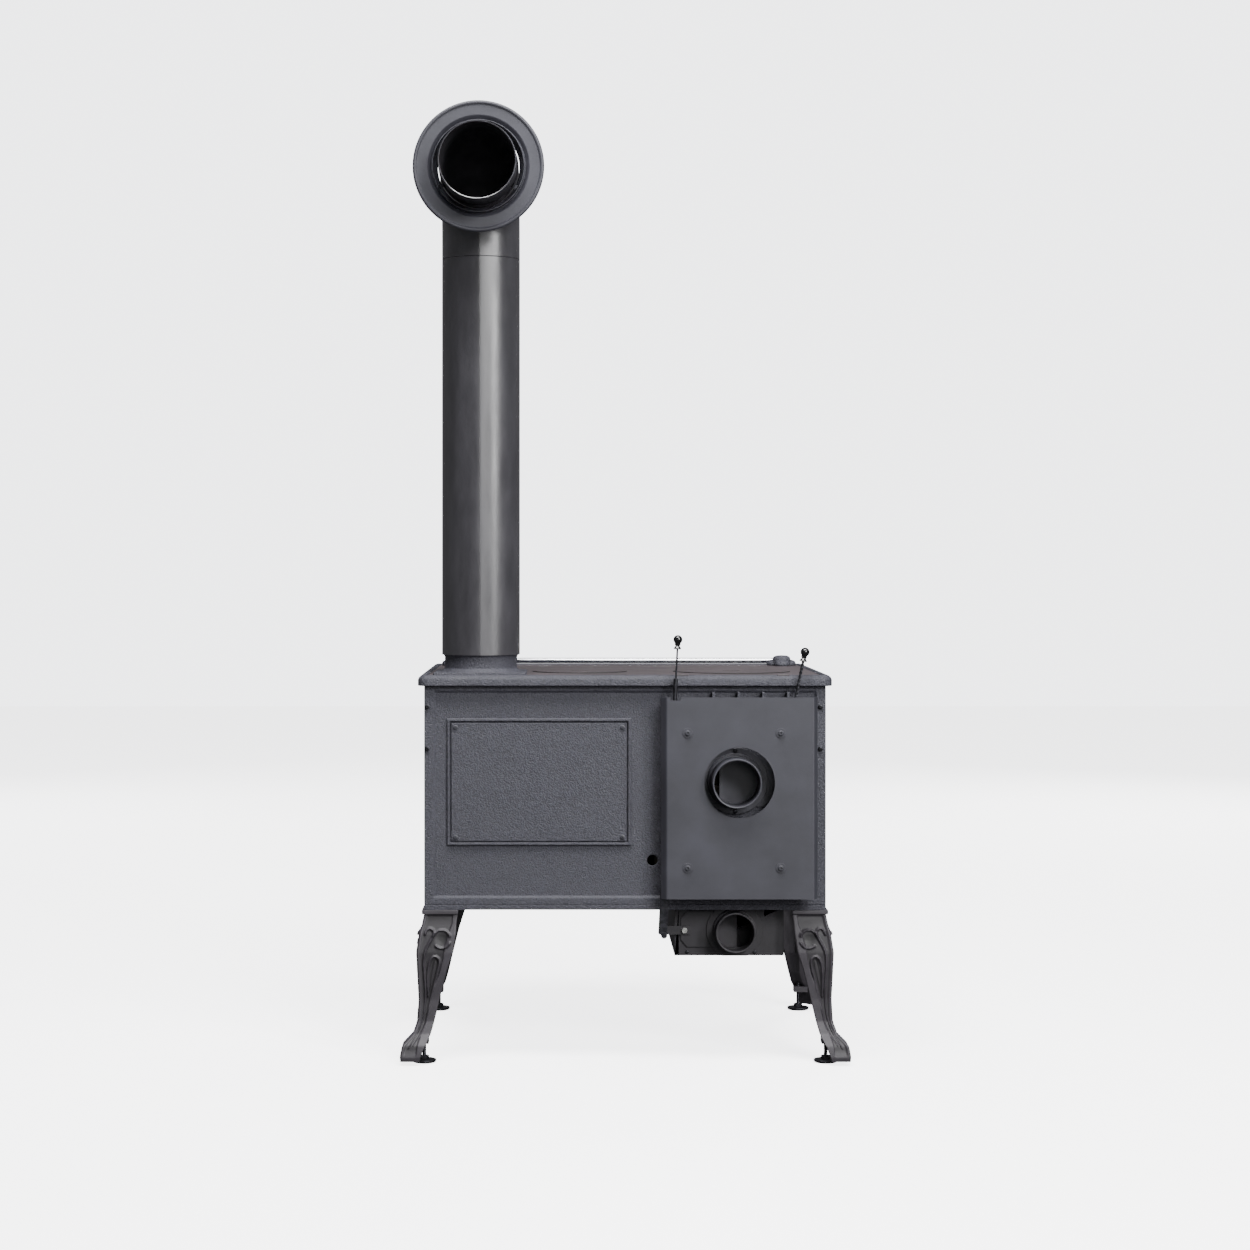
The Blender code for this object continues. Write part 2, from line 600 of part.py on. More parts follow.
def make_rosette(stove, steel):
    slide = make_empty("wall_rosette_slide", (FLUE_X, ROSETTE_Y, ELBOW_AXIS_Z), stove)
    rim = 0.0042
    front, back = ROSETTE_Y + 0.0015, ROSETTE_Y - 0.0015
    profile = [(0.087, back - 0.006), (0.087, front + 0.009), (0.089, front + 0.009),
               (0.0905, front + 0.004), (0.098, front), (ROSETTE_R - 2 * rim, front)]
    profile += [(ROSETTE_R - rim + a, ROSETTE_Y + b) for a, b in arc(0, 0, rim, 135, -135, 4)]
    profile += [(ROSETTE_R - 2 * rim, back), (0.095, back), (0.089, back - 0.006)]
    finish("wall_rosette", turned(profile, (FLUE_X, 0, ELBOW_AXIS_Z), "Y", 36), steel, slide, smooth=True)


# Air controls -----------------------------------------------------------------------------------
def make_heat_shield(stove, steel, bolt):
    low_x, high_x = SHIELD_X
    back = SHIELD_Y - SHIELD_SHEET
    outer = [(low_x, SHIELD_Y - 0.012), (low_x + 0.007, SHIELD_Y), (high_x - 0.010, SHIELD_Y),
             (high_x, SHIELD_Y - 0.012)]
    inner = [(high_x - 0.003, SHIELD_Y - 0.013), (high_x - 0.0113, back), (low_x + 0.0083, back),
             (low_x + 0.0025, SHIELD_Y - 0.013)]
    shield = finish("heat_shield", prism(outer + inner, "Z", *SHIELD_Z), steel, stove)
    y_in, y_out = back - 0.001, SHIELD_Y + 0.001
    openings = rods(0.0040, [(x, 0, z) for x, z in SHIELD_BOLTS], "Y", y_in, y_out, 12)
    rod(openings, 0.0675, (-0.218, 0, UPPER_AIR_Z), "Y", y_in, y_out, 32)
    add_box(openings, (-0.106, y_in, SHIELD_Z[1] - 0.006), (-0.086, y_out, SHIELD_Z[1] + 0.001))
    cut(shield, openings)

    seat = RECESS_Y + GAP
    face = SHIELD_Y + GAP
    profile = [(0, seat), (0.0070, seat), (0.0070, back - GAP), (0.0034, back - GAP), (0.0034, face),
               (0.0095, face), (0.0095, face + 0.0015), (0.0055, face + 0.0018),
               (0.0055, face + 0.0048), (0.0035, face + 0.0058), (0, face + 0.0058)]
    for number, (x, z) in enumerate(SHIELD_BOLTS, start=1):
        finish(f"shield_bolt_{number}", turned(profile, (x, 0, z), "Y", 12), bolt, stove, smooth=True)


def spigot_profile(radius, flange_r, collar_r, start, end):
    return [(radius - SPIGOT_WALL, start), (flange_r, start), (flange_r, start + 0.0025),
            (collar_r, start + 0.0025), (collar_r, start + 0.010), (radius, start + 0.0115),
            (radius, end), (radius - SPIGOT_WALL, end)]


def make_upper_air(stove, steel, bolt, knob):
    plate_y = (RECESS_Y + 2 * GAP, RECESS_Y + 0.0030)
    flange_y = plate_y[1] + 2 * GAP
    spigot = finish("upper_air_spigot",
                    turned(spigot_profile(UPPER_SPIGOT_R, 0.064, 0.053, flange_y, 0.360),
                           (UPPER_AIR_X, 0, UPPER_AIR_Z), "Y", 28), steel, stove, smooth=True)
    fuse(spigot, boxes([((UPPER_AIR_X - 0.015, RECESS_Y + GAP, UPPER_AIR_Z + z),
                         (UPPER_AIR_X + 0.015, flange_y + 0.001, UPPER_AIR_Z + z + 0.008))
                        for z in (0.0515, -0.0595)]))

    stud_x = -0.2945
    slide = make_empty("upper_air_slide_travel", (stud_x, plate_y[0], UPPER_AIR_Z), stove)
    plate = finish("upper_air_slide", box((-0.306, plate_y[0], UPPER_AIR_Z - 0.050),
                                          (-0.182, plate_y[1], UPPER_AIR_Z + 0.050)), steel, slide)
    fuse(plate, rods(0.0040, [(stud_x, 0, UPPER_AIR_Z)], "Y", plate_y[0] + 0.001, LEVER_Y - 0.0040, 12))
    make_lever("upper_air_lever", "upper_lever_knob", UPPER_LEVER_PIVOT, UPPER_LEVER_TILT,
               0.128, 0.007, 0.0030, 0.1154, stove, bolt, knob)


def make_lower_air(stove, steel, bolt, zinc, knob):
    low = (AIR_BOX_X[0], AIR_BOX_Y[0], AIR_BOX_Z[0])
    high = (AIR_BOX_X[1], AIR_BOX_Y[1], AIR_BOX_Z[1])
    air_box = finish("air_box", box(low, high), steel, stove)
    cut(air_box, box((low[0] + BOX_SHEET, low[1] - 0.001, low[2] + BOX_SHEET),
                     (high[0] - BOX_SHEET, high[1] - BOX_SHEET, high[2] + 0.001)))
    cover_y = high[1] + 0.0015
    fuse(air_box, box((-0.271, high[1] - 0.001, low[2] + 0.0005), (-0.105, cover_y, high[2] - 0.0005)))
    cut(air_box, rods(LOWER_SPIGOT_R - SPIGOT_WALL, [(LOWER_AIR_X, 0, LOWER_AIR_Z)], "Y",
                      high[1] - 0.005, cover_y + 0.001, 32))

    plate_y = (cover_y + 2 * GAP, cover_y + 0.0030)
    flange_y = plate_y[1] + 2 * GAP
    spigot = finish("lower_air_spigot",
                    turned(spigot_profile(LOWER_SPIGOT_R, 0.0545, 0.0420, flange_y, 0.300),
                           (LOWER_AIR_X, 0, LOWER_AIR_Z), "Y", 28), steel, stove, smooth=True)
    fuse(spigot, boxes([((LOWER_AIR_X - 0.016, cover_y + GAP, z_low), (LOWER_AIR_X + 0.016, flange_y + 0.001, z_high))
                        for z_low, z_high in ((low[2] + 0.004, 0.2165), (0.2875, high[2] - 0.001))]))
    cut(spigot, boxes([((-0.300, cover_y - 0.001, 0.180), (-0.120, 0.300, low[2] + 0.0005)),
                       ((-0.300, cover_y - 0.001, high[2] - 0.0005), (-0.120, 0.290, 0.310))]))

    slide = make_empty("lower_air_slide_travel", (-0.116, plate_y[0], LOWER_AIR_Z), stove)
    outline = [(-0.109, 0.231), (-0.121, 0.217), (-0.218, 0.217), (-0.218, 0.287), (-0.121, 0.287), (-0.109, 0.273)]
    plate = finish("lower_air_slide", prism(outline, "Y", *plate_y), steel, slide)
    bolt_at = (-0.116, 0, 0.250)
    cut(plate, rods(0.0034, [bolt_at], "Y", plate_y[0] - 0.001, plate_y[1] + 0.001, 12))
    strip_y = (plate_y[1] + GAP, plate_y[1] + 0.0033)
    strip = finish("link_strip", box((-0.128, strip_y[0], 0.2415), (-0.067, strip_y[1], 0.2585)), steel, slide)
    cut(strip, rods(0.0034, [bolt_at], "Y", strip_y[0] - 0.001, strip_y[1] + 0.001, 12))
    seat = strip_y[1] + GAP
    hexagon = turned([(0, seat), (0.0058, seat), (0.0058, seat + 0.0042), (0, seat + 0.0042)], bolt_at, "Y", 6)
    fuse(finish("link_bolt", hexagon, zinc, slide), rods(0.0030, [bolt_at], "Y", plate_y[0] + GAP, seat + 0.001, 12))

    make_lever("lower_air_lever", "lower_lever_knob", LOWER_LEVER_PIVOT, LOWER_LEVER_TILT,
               0.351, 0.0085, 0.0023, 0.197, stove, bolt, knob,
               link=(-0.0745, LOWER_LINK_Z, strip_y[1] + 2 * GAP))


def make_lever(name, knob_name, pivot, tilt, reach, half_width, rod_r, knob_base, stove, material,
               knob_material, link=None):
    """A flat bar below the pivot and a round rod with a ball knob above it, leaning by its tilt."""
    axis = make_empty(name + "_swing", (pivot[0], LEVER_Y, pivot[1]), stove)
    lean = Matrix.Translation(axis.location) @ Matrix.Rotation(-tilt, 4, "Y") @ Matrix.Translation(-axis.location)

    def leaning(bm):
        bm.transform(lean)
        return bm

    x, z = pivot
    bar = box((x - half_width, LEVER_Y - 0.003, z - reach), (x + half_width, LEVER_Y, z + 0.010))
    lever = finish(name, leaning(bar), material, axis)
    boss = rods(0.008, [(x, 0, z)], "Y", RECESS_Y + 2 * GAP, LEVER_Y + 0.003, 12)
    fuse(lever, boss)
    base = z + knob_base
    sleeve_end = LIP_Z + 0.015 if link else z + 0.030
    stem = [(0, z - 0.002), (0.0040, z - 0.002), (0.0040, sleeve_end), (rod_r, sleeve_end + 0.001),
            (rod_r, base + 0.010), (0, base + 0.010)]
    fuse(lever, leaning(turned(stem, (x, LEVER_Y, 0), "Z", 12)))
    if link:
        link_x, link_z, link_y = link
        fuse(lever, rods(0.0060, [(link_x, 0, link_z)], "Y", link_y, LEVER_Y + 0.002, 12))

    bore = rod_r + GAP
    ball = [(0.0087 * math.cos(math.radians(a)), base + KNOB_HEIGHT - 0.0087 + 0.0087 * math.sin(math.radians(a)))
            for a in range(-50, 90, 28)]
    profile = [(0, base + 0.0105), (bore, base + 0.0105), (bore, base), (0.0073, base), (0.0060, base + 0.0035),
               (0.0040, base + 0.0065), (0.0055, base + 0.0080), (0.0055, base + 0.0095)]
    profile += ball + [(0, base + KNOB_HEIGHT)]
    finish(knob_name, leaning(turned(profile, (x, LEVER_Y, 0), "Z", 14)), knob_material, axis, smooth=True)


def make_lever_guide(stove, steel):
    y = (RECESS_Y + GAP, 0.3195)
    guide = finish("lever_guide", box((-0.121, y[0], 0.688), (-0.071, y[1], 0.691)), steel, stove)
    cut(guide, box((-0.113, 0.3030, 0.687), (-0.077, 0.3170, 0.692)))


def make_ash_drawer(stove, steel):
    front_y = AIR_BOX_Y[0] - GAP
    slide = make_empty("ash_drawer_slide", (AIR_BOX_X[0] + 0.106, front_y, AIR_BOX_Z[0]), stove)
    low, high = (-0.300, front_y - 0.001, AIR_BOX_Z[0] + 0.004), (-0.106, 0.200, AIR_BOX_Z[0] + 0.080)
    tray = finish("ash_drawer", box(low, high), steel, slide)
    cut(tray, box((low[0] + BOX_SHEET, low[1] + 0.002, low[2] + BOX_SHEET),
                  (high[0] - BOX_SHEET, high[1] - BOX_SHEET, high[2] + 0.001)))
    fuse(tray, box((-0.306, front_y - 0.005, AIR_BOX_Z[0] + 0.001), (-0.100, front_y, AIR_BOX_Z[1] - 0.001)))
    knob = [(0, front_y - 0.034), (0.010, front_y - 0.033), (0.012, front_y - 0.027), (0.010, front_y - 0.021),
            (0.005, front_y - 0.017), (0.005, front_y - 0.004), (0, front_y - 0.004)]
    fuse(tray, turned(knob, (-0.203, 0, 0.247), "Y", 12))


# Legs and rail ----------------------------------------------------------------------------------
def leg_section(side_x, side_y, z, outset, width, thick, heel):
    """An angle section whose outer corner stands proud of the body's corner by outset."""
    corner_x, corner_y, nose = BODY_X + outset, BODY_Y + outset, 0.004
    outline = [(nose, 0), (width, 0), (width, thick), (heel, heel), (thick, width), (0, width), (0, nose)]
    return [(side_x * (corner_x - a), side_y * (corner_y - b), z) for a, b in outline]


def make_legs(stove, cast, bolt):
    levels = [(LEG_TOP_Z, 0.0045, 0.070, 0.012, 0.016), (LEG_TOP_Z - 0.0075, 0.0045, 0.070, 0.012, 0.016),
              (LEG_TOP_Z - 0.0085, 0.0005, 0.065, 0.010, 0.014), (0.265, 0.0045, 0.067, 0.010, 0.014),
              (0.247, 0.0095, 0.071, 0.010, 0.014), (0.212, 0.0145, 0.070, 0.010, 0.015),
              (0.176, 0.0130, 0.057, 0.011, 0.017), (0.122, 0.0105, 0.041, 0.012, 0.019),
              (0.080, 0.0125, 0.033, 0.013, 0.020), (0.057, 0.0185, 0.034, 0.014, 0.021),
              (0.038, 0.0370, 0.043, 0.016, 0.025), (0.026, 0.0430, 0.042, 0.017, 0.026),
              (0.016, 0.0445, 0.040, 0.017, 0.026), (0.008, 0.0435, 0.037, 0.016, 0.025)]
    foot = [(0, 0), (0.0205, 0), (0.0230, 0.002), (0.0230, 0.0055), (0.0080, 0.0070), (0.0080, 0.0130),
            (0.0040, 0.0130), (0.0040, 0.0600), (0, 0.0600)]
    for name, side_x, side_y in (("front_left", -1, -1), ("front_right", 1, -1),
                                 ("rear_left", -1, 1), ("rear_right", 1, 1)):
        bm = bmesh.new()
        loft(bm, [leg_section(side_x, side_y, *level) for level in levels])
        leg = finish("leg_" + name, bm, cast, stove)
        screw_x, screw_y = side_x * FOOT_SCREW[0], side_y * FOOT_SCREW[1]
        lug_x = sorted((screw_x - side_x * 0.009, screw_x + side_x * 0.020))
        lug_y = sorted((screw_y - side_y * 0.009, screw_y + side_y * 0.020))
        fuse(leg, box((lug_x[0], lug_y[0], 0.038), (lug_x[1], lug_y[1], 0.050)))
        cut(leg, rods(0.0045, [(screw_x, screw_y, 0)], "Z", 0.030, 0.065, 12))
        axis = make_empty("levelling_foot_" + name + "_screw", (screw_x, screw_y, 0), stove)
        finish("levelling_foot_" + name, turned(foot, (screw_x, screw_y, 0), "Z", 12), bolt, axis, smooth=True)


def make_rail(stove, cast, chrome):
    end = BRACKET_X - 0.002
    finish("towel_rail", rods(RAIL_R, [(0, RAIL_Y, RAIL_Z)], "X", -end, end, 20), chrome, stove, smooth=True)
    base = SURFACE_Z + GAP
    for name, side in (("rail_bracket_left", -1), ("rail_bracket_right", 1)):
        x = side * BRACKET_X
        dome = [(0, base), (0.0185, base), (0.0195, base + 0.012), (0.0180, base + 0.018),
                (0.0120, base + 0.0212), (0, base + 0.0220)]
        lobe = [(0, base), (0.0150, base), (0.0160, base + 0.004), (0.0140, base + 0.009), (0.0080, base + 0.0115),
                (0, base + 0.0120)]
        bracket = finish(name, turned(dome, (x, BRACKET_Y, 0), "Z", 14), cast, stove, smooth=True)
        for angle in (90, 210, 330):
            lobe_x = x + 0.0180 * math.cos(math.radians(angle))
            lobe_y = BRACKET_Y + 0.0180 * math.sin(math.radians(angle))
            fuse(bracket, turned(lobe, (lobe_x, lobe_y, 0), "Z", 10))
        fuse(bracket, box((x - 0.0045, RAIL_Y - 0.001, base + 0.0045), (x + 0.0045, BRACKET_Y, base + 0.0135)))
        boss = sorted((side * (BRACKET_X - 0.009), side * (BRACKET_X + 0.009)))
        fuse(bracket, rods(BRACKET_BOSS_R, [(0, RAIL_Y, RAIL_Z)], "X", boss[0], boss[1], 12))
        bore = sorted((side * (end - 0.020), side * (end + GAP)))
        cut(bracket, rods(RAIL_R + GAP, [(0, RAIL_Y, RAIL_Z)], "X", bore[0], bore[1], 12))


def main():
    clear_scene()
    cast = make_material("matt black cast iron", (0.080, 0.080, 0.095), 0.60, 0.3)
    hob = make_material("bare cast iron hob", (0.105, 0.095, 0.100), 0.50, 0.4)
    steel = make_material("black painted sheet steel", (0.065, 0.065, 0.075), 0.50, 0.2)
    bolt = make_material("blackened steel", (0.030, 0.030, 0.034), 0.40, 0.8)
    zinc = make_material("zinc plated steel", (0.62, 0.62, 0.60), 0.30, 1.0)
    chrome = make_material("chrome plated steel", (0.75, 0.75, 0.78), 0.12, 1.0)
    bakelite = make_material("black phenolic", (0.012, 0.012, 0.014), 0.18)
    brick = make_material("fired vermiculite", (0.62, 0.52, 0.38), 0.90)
    glass = make_material("ceramic glass", (0.10, 0.08, 0.06), 0.05)

    stove = make_empty("stove", (0, STOVE_Y, 0))
    make_base_plate(stove, cast)
    make_side_plate("side_plate_left", -1, stove, cast)
    make_side_plate("side_plate_right", 1, stove, cast)
    make_rear_plate(stove, cast)
    make_front_frame(stove, cast)
    make_cooktop(stove, hob)
    make_hot_plates(stove, hob)
    make_oven_access(stove, cast, bolt)
    make_side_bolts(stove, bolt)
    make_firebox(stove, brick, cast, steel)
    make_oven(stove, steel, chrome)
    make_doors(stove, cast, glass, chrome)
    make_flue(stove, cast, steel)
    make_heat_shield(stove, steel, bolt)
    make_upper_air(stove, steel, bolt, bakelite)
    make_lower_air(stove, steel, bolt, zinc, bakelite)
    make_lever_guide(stove, steel)
    make_ash_drawer(stove, steel)
    make_legs(stove, cast, bolt)
    make_rail(stove, cast, chrome)


if __name__ == "__main__":
    main()
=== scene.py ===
"""A wood burning cook stove: the visible pieces, their finishes, and a small daylight studio.

Metres, +Z up, doors towards -Y and the wall side towards +Y. Each piece is built round the fixed
frame, whose boxes give the places and most of the sizes.
"""

import json
import math

import bmesh
import bpy
import numpy as np
from mathutils import Matrix, Vector


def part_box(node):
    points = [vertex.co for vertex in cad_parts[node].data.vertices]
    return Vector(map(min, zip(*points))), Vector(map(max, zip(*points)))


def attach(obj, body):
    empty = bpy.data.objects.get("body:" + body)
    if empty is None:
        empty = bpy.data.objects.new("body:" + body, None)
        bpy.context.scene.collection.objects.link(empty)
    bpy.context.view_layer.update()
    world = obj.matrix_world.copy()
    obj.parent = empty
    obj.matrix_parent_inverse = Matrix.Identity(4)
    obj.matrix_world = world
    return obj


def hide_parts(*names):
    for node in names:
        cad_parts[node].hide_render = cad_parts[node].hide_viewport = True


bl_info = {
    "name": "Cook Stove Parts",
    "version": (1, 0, 0),
    "blender": (4, 5, 0),
    "location": "3D View > Sidebar > Stove",
    "description": "Builds the visible pieces of a cast-iron wood burning cook stove",
    "category": "Add Mesh",
}

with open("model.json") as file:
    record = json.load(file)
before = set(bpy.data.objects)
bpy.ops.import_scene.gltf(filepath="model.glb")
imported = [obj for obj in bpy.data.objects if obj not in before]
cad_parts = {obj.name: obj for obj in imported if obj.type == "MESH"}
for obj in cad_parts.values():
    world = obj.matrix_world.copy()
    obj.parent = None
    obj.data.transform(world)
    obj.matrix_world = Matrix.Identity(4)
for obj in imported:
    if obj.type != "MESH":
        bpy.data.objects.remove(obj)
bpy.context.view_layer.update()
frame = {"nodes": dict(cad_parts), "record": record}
NODES = frame["nodes"]
MM = 0.001
GAP = 0.3 * MM
HOME = sum(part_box("cooktop"), Vector()) / 2 * Vector((1, 1, 0))     # below the middle of the cooktop
CORNERS = {"front_left": (-1, -1), "front_right": (1, -1),
           "rear_left": (-1, 1), "rear_right": (1, 1)}
AXES = {"X": (Vector((1, 0, 0)), Vector((0, 1, 0)), Vector((0, 0, 1))),
        "Y": (Vector((0, 1, 0)), Vector((1, 0, 0)), Vector((0, 0, 1))),
        "Z": (Vector((0, 0, 1)), Vector((1, 0, 0)), Vector((0, 1, 0)))}


# Sizes and colours a user may change ------------------------------------------------------------
def length(name, description, default):
    return bpy.props.FloatProperty(name=name, description=description, default=default,
                                   min=0.0, unit="LENGTH", subtype="DISTANCE")


def colour(name, description, default):
    return bpy.props.StringProperty(name=name, description=description, default=default)


class StoveSizes(bpy.types.PropertyGroup):
    cast_edge: length("Cast edge radius", "Rounding of the edges of sand-cast plates", 1.4 * MM)
    sheet_edge: length("Sheet edge radius", "Rounding of cut and folded sheet edges", 0.45 * MM)
    sand_grain: length("Sand grain", "Size of the grain that moulding sand leaves on cast iron",
                       2.8 * MM)
    leg_relief: length("Leg relief", "Height of the scrolls and flutes on the legs", 3.2 * MM)
    seam_height: length("Seam height", "Height of the weld seam along the flue pipe", 0.5 * MM)
    seam_peak: length("Seam peak", "How far the pipe's sheet ends stand proud of a true circle",
                      1.1 * MM)
    seam_width: length("Seam width", "Width of the weld seam along the flue pipe", 2.2 * MM)
    wire_width: length("Wire width", "Diameter of the oven rack's wires", 4.0 * MM)


class StoveColours(bpy.types.PropertyGroup):
    cast: colour("Stove paint", "Matt anthracite paint on the castings", "#32323A")
    leg: colour("Leg paint", "Matt paint on the legs", "#302D32")
    box: colour("Box paint", "Flat black paint on the air box and the lower air spigot", "#222024")
    hob: colour("Hob iron", "Bare seasoned iron of the cooktop's surface", "#3A3437")
    sheet: colour("Sheet paint", "Matt paint on the heat shield", "#2E2E35")
    pipe: colour("Pipe paint", "Satin heat-proof paint of the flue", "#2C2B2F")
    dark_steel: colour("Blackened steel", "Bolts, levers and levelling feet", "#2E2E32")
    zinc: colour("Zinc", "Bright zinc-plated bolt", "#D6D6D2")
    chrome: colour("Chrome", "Plated rail and handles", "#E4E4E8")
    phenolic: colour("Phenolic", "Moulded black ball knobs", "#0C0C0E")
    brick: colour("Vermiculite", "Smoked firebox boards", "#2E2A25")
    # Its black is also painted shade on the hot plates' upright edges.
    soot_and_shade: colour("Soot", "Inside of the flue and the firebox", "#141314")


# Materials --------------------------------------------------------------------------------------
def linear(hex_colour, factor=1.0):
    """The linear RGBA of an sRGB hex colour, made lighter or darker by a factor."""
    channels = [min(1.0, int(hex_colour[i:i + 2], 16) / 255 * factor) for i in (1, 3, 5)]
    return [c / 12.92 if c <= 0.04045 else ((c + 0.055) / 1.055) ** 2.4 for c in channels] + [1.0]


def add_node(tree, kind, settings=None, links=None):
    """Add a shader node. Settings are its properties or socket values, links are outputs to plug in."""
    node = tree.nodes.new(kind)
    for key, value in (settings or {}).items():
        if isinstance(key, int) or key in node.inputs:
            node.inputs[key].default_value = value
        else:
            setattr(node, key, value)
    for key, source in (links or {}).items():
        tree.links.new(source, node.inputs[key])
    return node


def surface(name, base, roughness, patch, fine, metallic=0.0, contrast=0.1, speckle=0.3, stretch=1.0,
            **sockets):
    """A finished surface: cloudy patches of tone and sheen under a fine grain that catches the light.

    roughness is its smoothest and roughest, and patch and fine are each a (size, depth) in metres.
    contrast is how far the base colour strays, speckle the grain's share in that, and stretch draws
    the patches out upwards.
    """
    material = bpy.data.materials.new(name)
    material.use_nodes = True
    tree = material.node_tree
    shader = tree.nodes["Principled BSDF"]
    shader.inputs["Metallic"].default_value = metallic
    for key, value in sockets.items():
        shader.inputs[key.replace("_", " ")].default_value = value
    place = add_node(tree, "ShaderNodeTexCoord").outputs["Object"]
    drawn = add_node(tree, "ShaderNodeMapping", {"Scale": (1, 1, 1 / stretch)}, {"Vector": place})
    patches = add_node(tree, "ShaderNodeTexNoise",
                       {"Scale": 1 / patch[0], "Detail": 4.0, "Roughness": 0.6},
                       {"Vector": drawn.outputs["Vector"]})
    grains = add_node(tree, "ShaderNodeTexNoise",
                      {"Scale": 1 / fine[0], "Detail": 2.0, "Roughness": 0.6},
                      {"Vector": place})
    tone = add_node(tree, "ShaderNodeMix", {0: speckle},
                    {2: patches.outputs["Fac"], 3: grains.outputs["Fac"]})
    share = add_node(tree, "ShaderNodeMapRange", {"From Min": 0.35, "From Max": 0.65},
                     {"Value": tone.outputs[0]})
    colours = add_node(tree, "ShaderNodeMix",
                       {"data_type": "RGBA", 6: linear(base, 1 - contrast),
                        7: linear(base, 1 + contrast)},
                       {0: share.outputs["Result"]})
    tree.links.new(colours.outputs[2], shader.inputs["Base Color"])
    sheen = add_node(tree, "ShaderNodeMapRange",
                     {"From Min": 0.3, "From Max": 0.7, "To Min": roughness[0], "To Max": roughness[1]},
                     {"Value": patches.outputs["Fac"]})
    tree.links.new(sheen.outputs["Result"], shader.inputs["Roughness"])
    waves = add_node(tree, "ShaderNodeBump", {"Strength": 1.0, "Distance": patch[1]},
                     {"Height": patches.outputs["Fac"]})
    skin_bump = add_node(tree, "ShaderNodeBump", {"Strength": 1.0, "Distance": fine[1]},
                         {"Height": grains.outputs["Fac"], "Normal": waves.outputs["Normal"]})
    tree.links.new(skin_bump.outputs["Normal"], shader.inputs["Normal"])
    return material, tree, shader, place


def painted_cast_iron(colours, sizes):
    # Sand-cast grey iron under sprayed matt stove paint: an even dark grey with a sandy, pebbled skin.
    # Real sand grain is under 1 mm. It is drawn a few times coarser so that it still shows.
    material, tree, shader, place = surface(
        "sand-cast iron, matt stove paint", colours.cast, (0.54, 0.68), patch=(60 * MM, 1.2 * MM),
        fine=(sizes.sand_grain, 2.2 * MM), contrast=0.16, speckle=0.85)
    pits = add_node(tree, "ShaderNodeTexNoise", {"Scale": 1 / (1.1 * MM), "Detail": 1.0},
                    {"Vector": place})
    first = shader.inputs["Normal"].links[0].from_socket
    pitted = add_node(tree, "ShaderNodeBump", {"Strength": 1.0, "Distance": 0.5 * MM},
                      {"Height": pits.outputs["Fac"], "Normal": first})
    tree.links.new(pitted.outputs["Normal"], shader.inputs["Normal"])
    return material


def seasoned_hob_iron(colours, sizes):
    # Bare machined iron, seasoned with oil and heat: brownish grey with cloudy darker patches.
    return surface("machined cast iron, oil seasoned", colours.hob, (0.42, 0.60),
                   patch=(70 * MM, 0.3 * MM),
                   fine=(1.8 * MM, 0.1 * MM), contrast=0.14)[0]


def painted_sheet(colours, sizes):
    # Cold-rolled steel sheet under matt heat-proof paint: smooth, with a fine spray texture.
    return surface("rolled sheet steel, matt heat-proof paint", colours.sheet, (0.48, 0.60),
                   patch=(110 * MM, 0.5 * MM), fine=(1.1 * MM, 0.05 * MM), contrast=0.12)[0]


def painted_pipe(colours, sizes):
    # Rolled and welded pipe under satin heat-proof paint: a soft sheen, faintly cloudy along its length.
    return surface("welded flue pipe, satin heat-proof paint", colours.pipe, (0.28, 0.42),
                   patch=(30 * MM, 0.35 * MM), fine=(1.5 * MM, 0.05 * MM), contrast=0.12, stretch=4.0,
                   Specular_IOR_Level=1.0)[0]


def leg_cast_iron(colours, sizes):
    # A finer sand casting under the same matt paint. Its hollows are painted darker: painted shade where
    # the relief sinks in.
    material, tree, shader, _ = surface(
        "fine sand-cast iron, matt stove paint", colours.leg, (0.50, 0.62), patch=(40 * MM, 0.3 * MM),
        fine=(1.6 * MM, 0.18 * MM))
    # The attribute below darkens the paint where the relief sinks in: painted shade.
    hollow_shade = add_node(tree, "ShaderNodeAttribute", {"attribute_name": "hollow_shade"})
    clean = shader.inputs["Base Color"].links[0].from_socket
    darker = add_node(tree, "ShaderNodeMix", {"data_type": "RGBA", 7: linear(colours.leg, 0.45)},
                      {0: hollow_shade.outputs["Fac"], 6: clean})
    tree.links.new(darker.outputs[2], shader.inputs["Base Color"])
    return material


def painted_box_sheet(colours, sizes):
    # Folded sheet steel under flat black heat-proof paint, slightly dusty.
    return surface("folded sheet steel, flat black paint", colours.box, (0.60, 0.72),
                   patch=(30 * MM, 0.2 * MM),
                   fine=(1.1 * MM, 0.05 * MM), contrast=0.2)[0]


def blackened_steel(colours, sizes):
    # Turned or drawn steel with a black oxide finish: dark metal with a dull shine, worn in places.
    return surface("turned steel, black oxide", colours.dark_steel, (0.34, 0.52),
                   patch=(5 * MM, 0.02 * MM),
                   fine=(0.8 * MM, 0.03 * MM), metallic=0.85, contrast=0.3)[0]


def zinc_plate(colours, sizes):
    # Steel with bright zinc plating: a pale, slightly cloudy metal.
    return surface("steel bolt, bright zinc plate", colours.zinc, (0.22, 0.40),
                   patch=(2.5 * MM, 0.02 * MM),
                   fine=(0.8 * MM, 0.01 * MM), metallic=1.0, contrast=0.1)[0]


def chrome_plate(colours, sizes):
    # Polished tube with chrome plating: a bright mirror with faint wipe marks.
    return surface("polished tube, chrome plate", colours.chrome, (0.06, 0.16), patch=(20 * MM, 0.0),
                   fine=(2 * MM, 0.0), metallic=1.0, contrast=0.02)[0]


def moulded_phenolic(colours, sizes):
    # Compression-moulded phenolic: a deep gloss black with a faint orange peel.
    return surface("moulded phenolic, glossy", colours.phenolic, (0.08, 0.16), patch=(8 * MM, 0.01 * MM),
                   fine=(3 * MM, 0.02 * MM), Coat_Weight=0.3, Coat_Roughness=0.05)[0]


